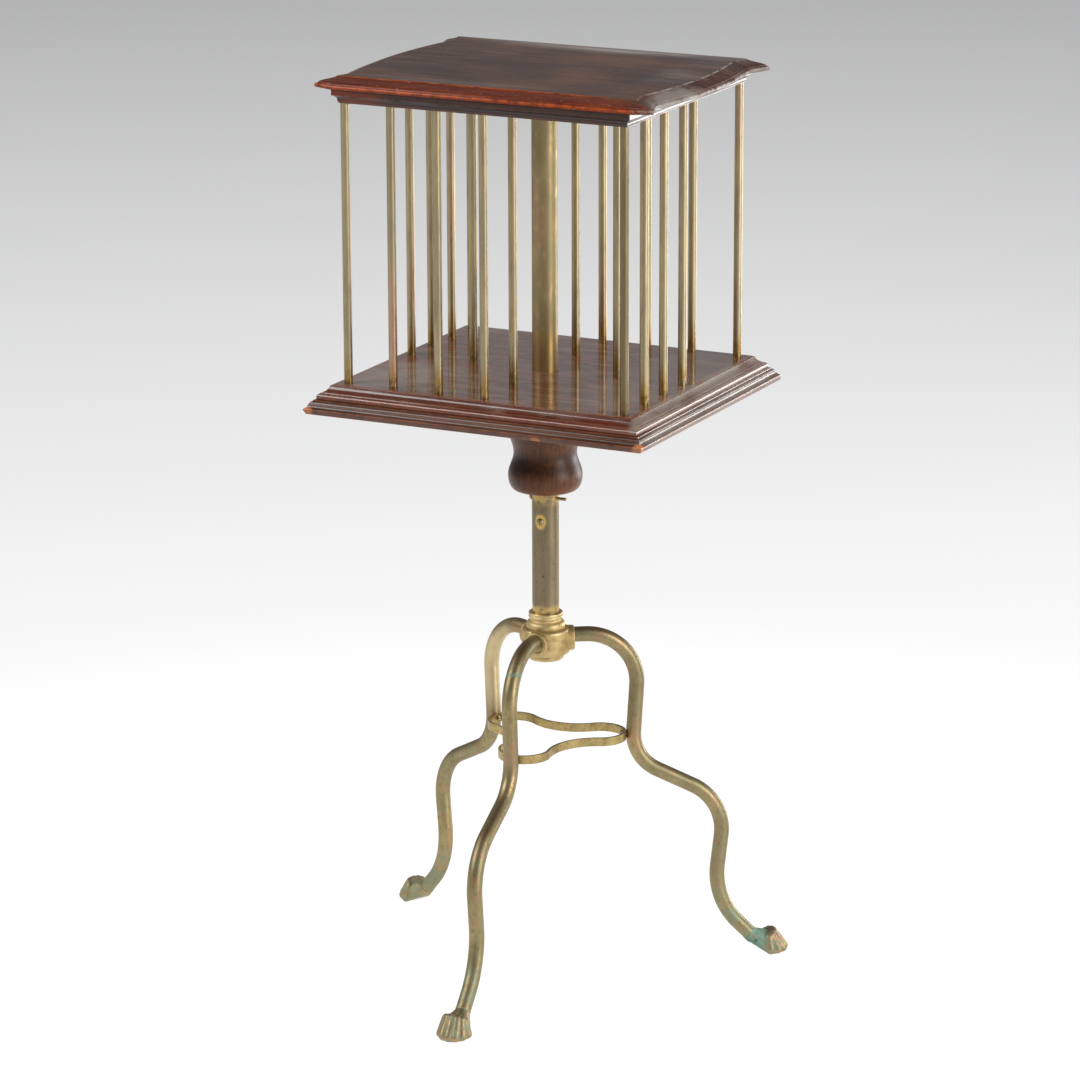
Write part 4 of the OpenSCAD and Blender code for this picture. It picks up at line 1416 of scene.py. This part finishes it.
@dataclass
class TripodMetalwork(Maker):
    """The stem with its pin and screw, the legs and the stretcher."""

    def build(self) -> None:
        """Dresses the stand's own nodes."""
        self.keep("stem_brass", ["stem_tube"])
        self.keep("bearing_brass", ["stem_plug", "thrust_washer"])
        self.keep("bright_steel", ["spindle", "leg_grub_screws"])
        self.keep("screw_brass", ["cross_pin", "stem_set_screw", "foot_pins", "stretcher_screws"])
        self.keep("leg_brass", [f"leg_{where}" for where in LEG_TURNS])
        self.keep("strip_brass", ["stretcher"])


# ---- studio


@dataclass
class Studio:
    """A pale floor, soft lamps and the camera at the photograph's angle."""

    eye: Point = (1852.3, -3778.2, 1587.4)
    aim: Point = (-5.8, 0.0, 419.1)
    roll: float = -0.183
    lens: float = 154.86
    room: str = "#b9bcc0"
    room_light: float = 0.42
    # The floor is a disc of floor_r metres, this far in mm under the feet.
    floor_r: float = 16.0
    floor_drop: float = 0.3
    # The floor's grey at each share of floor_fade metres from the object.
    floor_fade: float = 8.0
    floor_greys: tuple[Pair, ...] = (
        (0.0, 0.9), (0.1, 0.86), (0.1525, 0.76), (0.224, 0.7), (0.31, 0.646),
        (0.418, 0.572), (0.554, 0.478), (0.738, 0.381), (1.0, 0.27),
    )

    def camera(self) -> None:
        """Sets the camera as fitted to the photograph."""
        data = bpy.data.cameras.new("photograph")
        data.lens = self.lens
        data.sensor_width = 36.0
        data.clip_end = 100.0
        eye, aim = Vector(self.eye) * MM, Vector(self.aim) * MM
        seen = bpy.data.objects.new("photograph", data)
        bpy.context.collection.objects.link(seen)
        turn = (aim - eye).to_track_quat("-Z", "Y").to_matrix().to_4x4()
        seen.matrix_world = Matrix.Translation(eye) @ turn @ Matrix.Rotation(math.radians(self.roll), 4, "Z")
        bpy.context.scene.camera = seen

    def lamp(self, name: str, at: Point, aim: Point, size: Pair, watts: float) -> None:
        """Adds one soft rectangular lamp.

        Args:
            name: The lamp's name.
            at: Its place in mm.
            aim: The point that it faces, in mm.
            size: Its width and height in mm.
            watts: Its power.
        """
        data = bpy.data.lights.new(name, "AREA")
        data.shape = "RECTANGLE"
        data.size, data.size_y = (s * MM for s in size)
        data.energy = watts
        lamp = bpy.data.objects.new(name, data)
        bpy.context.collection.objects.link(lamp)
        start = Vector(at) * MM
        turn = (Vector(aim) * MM - start).to_track_quat("-Z", "Y").to_matrix().to_4x4()
        lamp.matrix_world = Matrix.Translation(start) @ turn

    def world(self) -> None:
        """Fills the room with soft, even grey light."""
        world = bpy.data.worlds.new("studio")
        bpy.context.scene.world = world
        world.use_nodes = True
        tree = world.node_tree
        tree.nodes.clear()
        shade = add(tree, "ShaderNodeBackground", {"Color": linear(self.room), "Strength": self.room_light})
        add(tree, "ShaderNodeOutputWorld", {"Surface": shade.outputs[0]})

    def floor(self) -> None:
        """Lays the pale floor, which runs from white by the object to light grey far off."""
        nothing_selected()
        under = (0, 0, -self.floor_drop * MM)
        bpy.ops.mesh.primitive_circle_add(vertices=96, radius=self.floor_r, fill_type="NGON", location=under)
        floor = bpy.context.object
        floor.name = "studio_floor"
        place_in_mesh(floor)
        material = bpy.data.materials.new("pale_studio_floor")
        material.use_nodes = True
        tree = material.node_tree
        tree.nodes.clear()
        place = add(tree, "ShaderNodeTexCoord").outputs["Object"]
        far = add(tree, "ShaderNodeVectorMath", {0: place}, operation="LENGTH").outputs["Value"]
        share = add(tree, "ShaderNodeMapRange", {"Value": far, "From Max": self.floor_fade})
        ramp = add(tree, "ShaderNodeValToRGB", {"Fac": share.outputs[0]})
        while len(ramp.color_ramp.elements) < len(self.floor_greys):
            ramp.color_ramp.elements.new(0.5)
        for stop, (where, grey) in zip(ramp.color_ramp.elements, self.floor_greys):
            stop.position = where
            stop.color = (grey, grey, grey, 1)
        path = add(tree, "ShaderNodeLightPath").outputs
        seen = path["Is Camera Ray"]
        for ray in ("Is Glossy Ray", "Is Transmission Ray"):
            seen = add(tree, "ShaderNodeMath", {0: seen, 1: path[ray]}, operation="MAXIMUM").outputs[0]
        glow = add(tree, "ShaderNodeEmission", {"Color": ramp.outputs[0], "Strength": seen})
        matt = add(tree, "ShaderNodeBsdfDiffuse", {"Color": (0.3, 0.3, 0.3, 1)})
        both = add(tree, "ShaderNodeAddShader", {0: glow.outputs[0], 1: matt.outputs[0]})
        add(tree, "ShaderNodeOutputMaterial", {"Surface": both.outputs[0]})
        dress(floor, material)

    def build(self) -> None:
        """Sets up the floor, the world, the lamps and the camera."""
        scene = bpy.context.scene
        scene.view_settings.view_transform = "Standard"
        self.camera()
        self.world()
        self.floor()
        self.lamp("key_left", (-2600, -2200, 2900), (0, 0, 500), (2200, 1800), 90)
        self.lamp("fill_right", (3000, -400, 1300), (0, 0, 500), (1200, 2400), 60)
        self.lamp("back_card", (-800, 2250, 1050), (0, 0, 700), (2200, 400), 0.35)
        self.lamp("right_card", (1250, 2350, 420), (0, 0, 600), (1000, 900), 22)


def main() -> None:
    """Builds the bookstand's looks on its frame."""
    logging.basicConfig(level=logging.INFO, format="%(name)s: %(message)s")
    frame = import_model()
    finishes = Finishes()
    frieze = {
        "name": "frieze_under_top", "node": "frieze_board", "slot": "frieze_mahogany",
        "half_x": 149, "half_y": 134, "foot": FRIEZE_FOOT, "profile": frieze_profile(),
    }
    shelf = {
        "name": "shelf_with_moulded_edge", "node": "shelf_board", "slot": "board_mahogany",
        "half_x": 150, "half_y": 135, "foot": SHELF_TOP - BOARD_THICK, "profile": shelf_profile(),
    }
    moulding = {
        "name": "moulding_under_shelf", "node": "shelf_base_board", "slot": "moulding_mahogany",
        "half_x": 150, "half_y": 135, "foot": SHELF_TOP - 2 * BOARD_THICK, "profile": moulding_profile(),
    }
    makers = [
        SerpentineTop(frame, finishes),
        MouldedBoard(frame, finishes, **frieze),
        MouldedBoard(frame, finishes, **shelf),
        BruisedBoard(frame, finishes, **moulding),
        TurnedBoss(frame, finishes),
        RodCage(frame, finishes),
        CastHub(frame, finishes),
        TripodMetalwork(frame, finishes),
        PawFoot(frame, finishes),
    ]
    for maker in makers:
        maker.build()
    Studio().build()


if __name__ == "__main__":
    main()
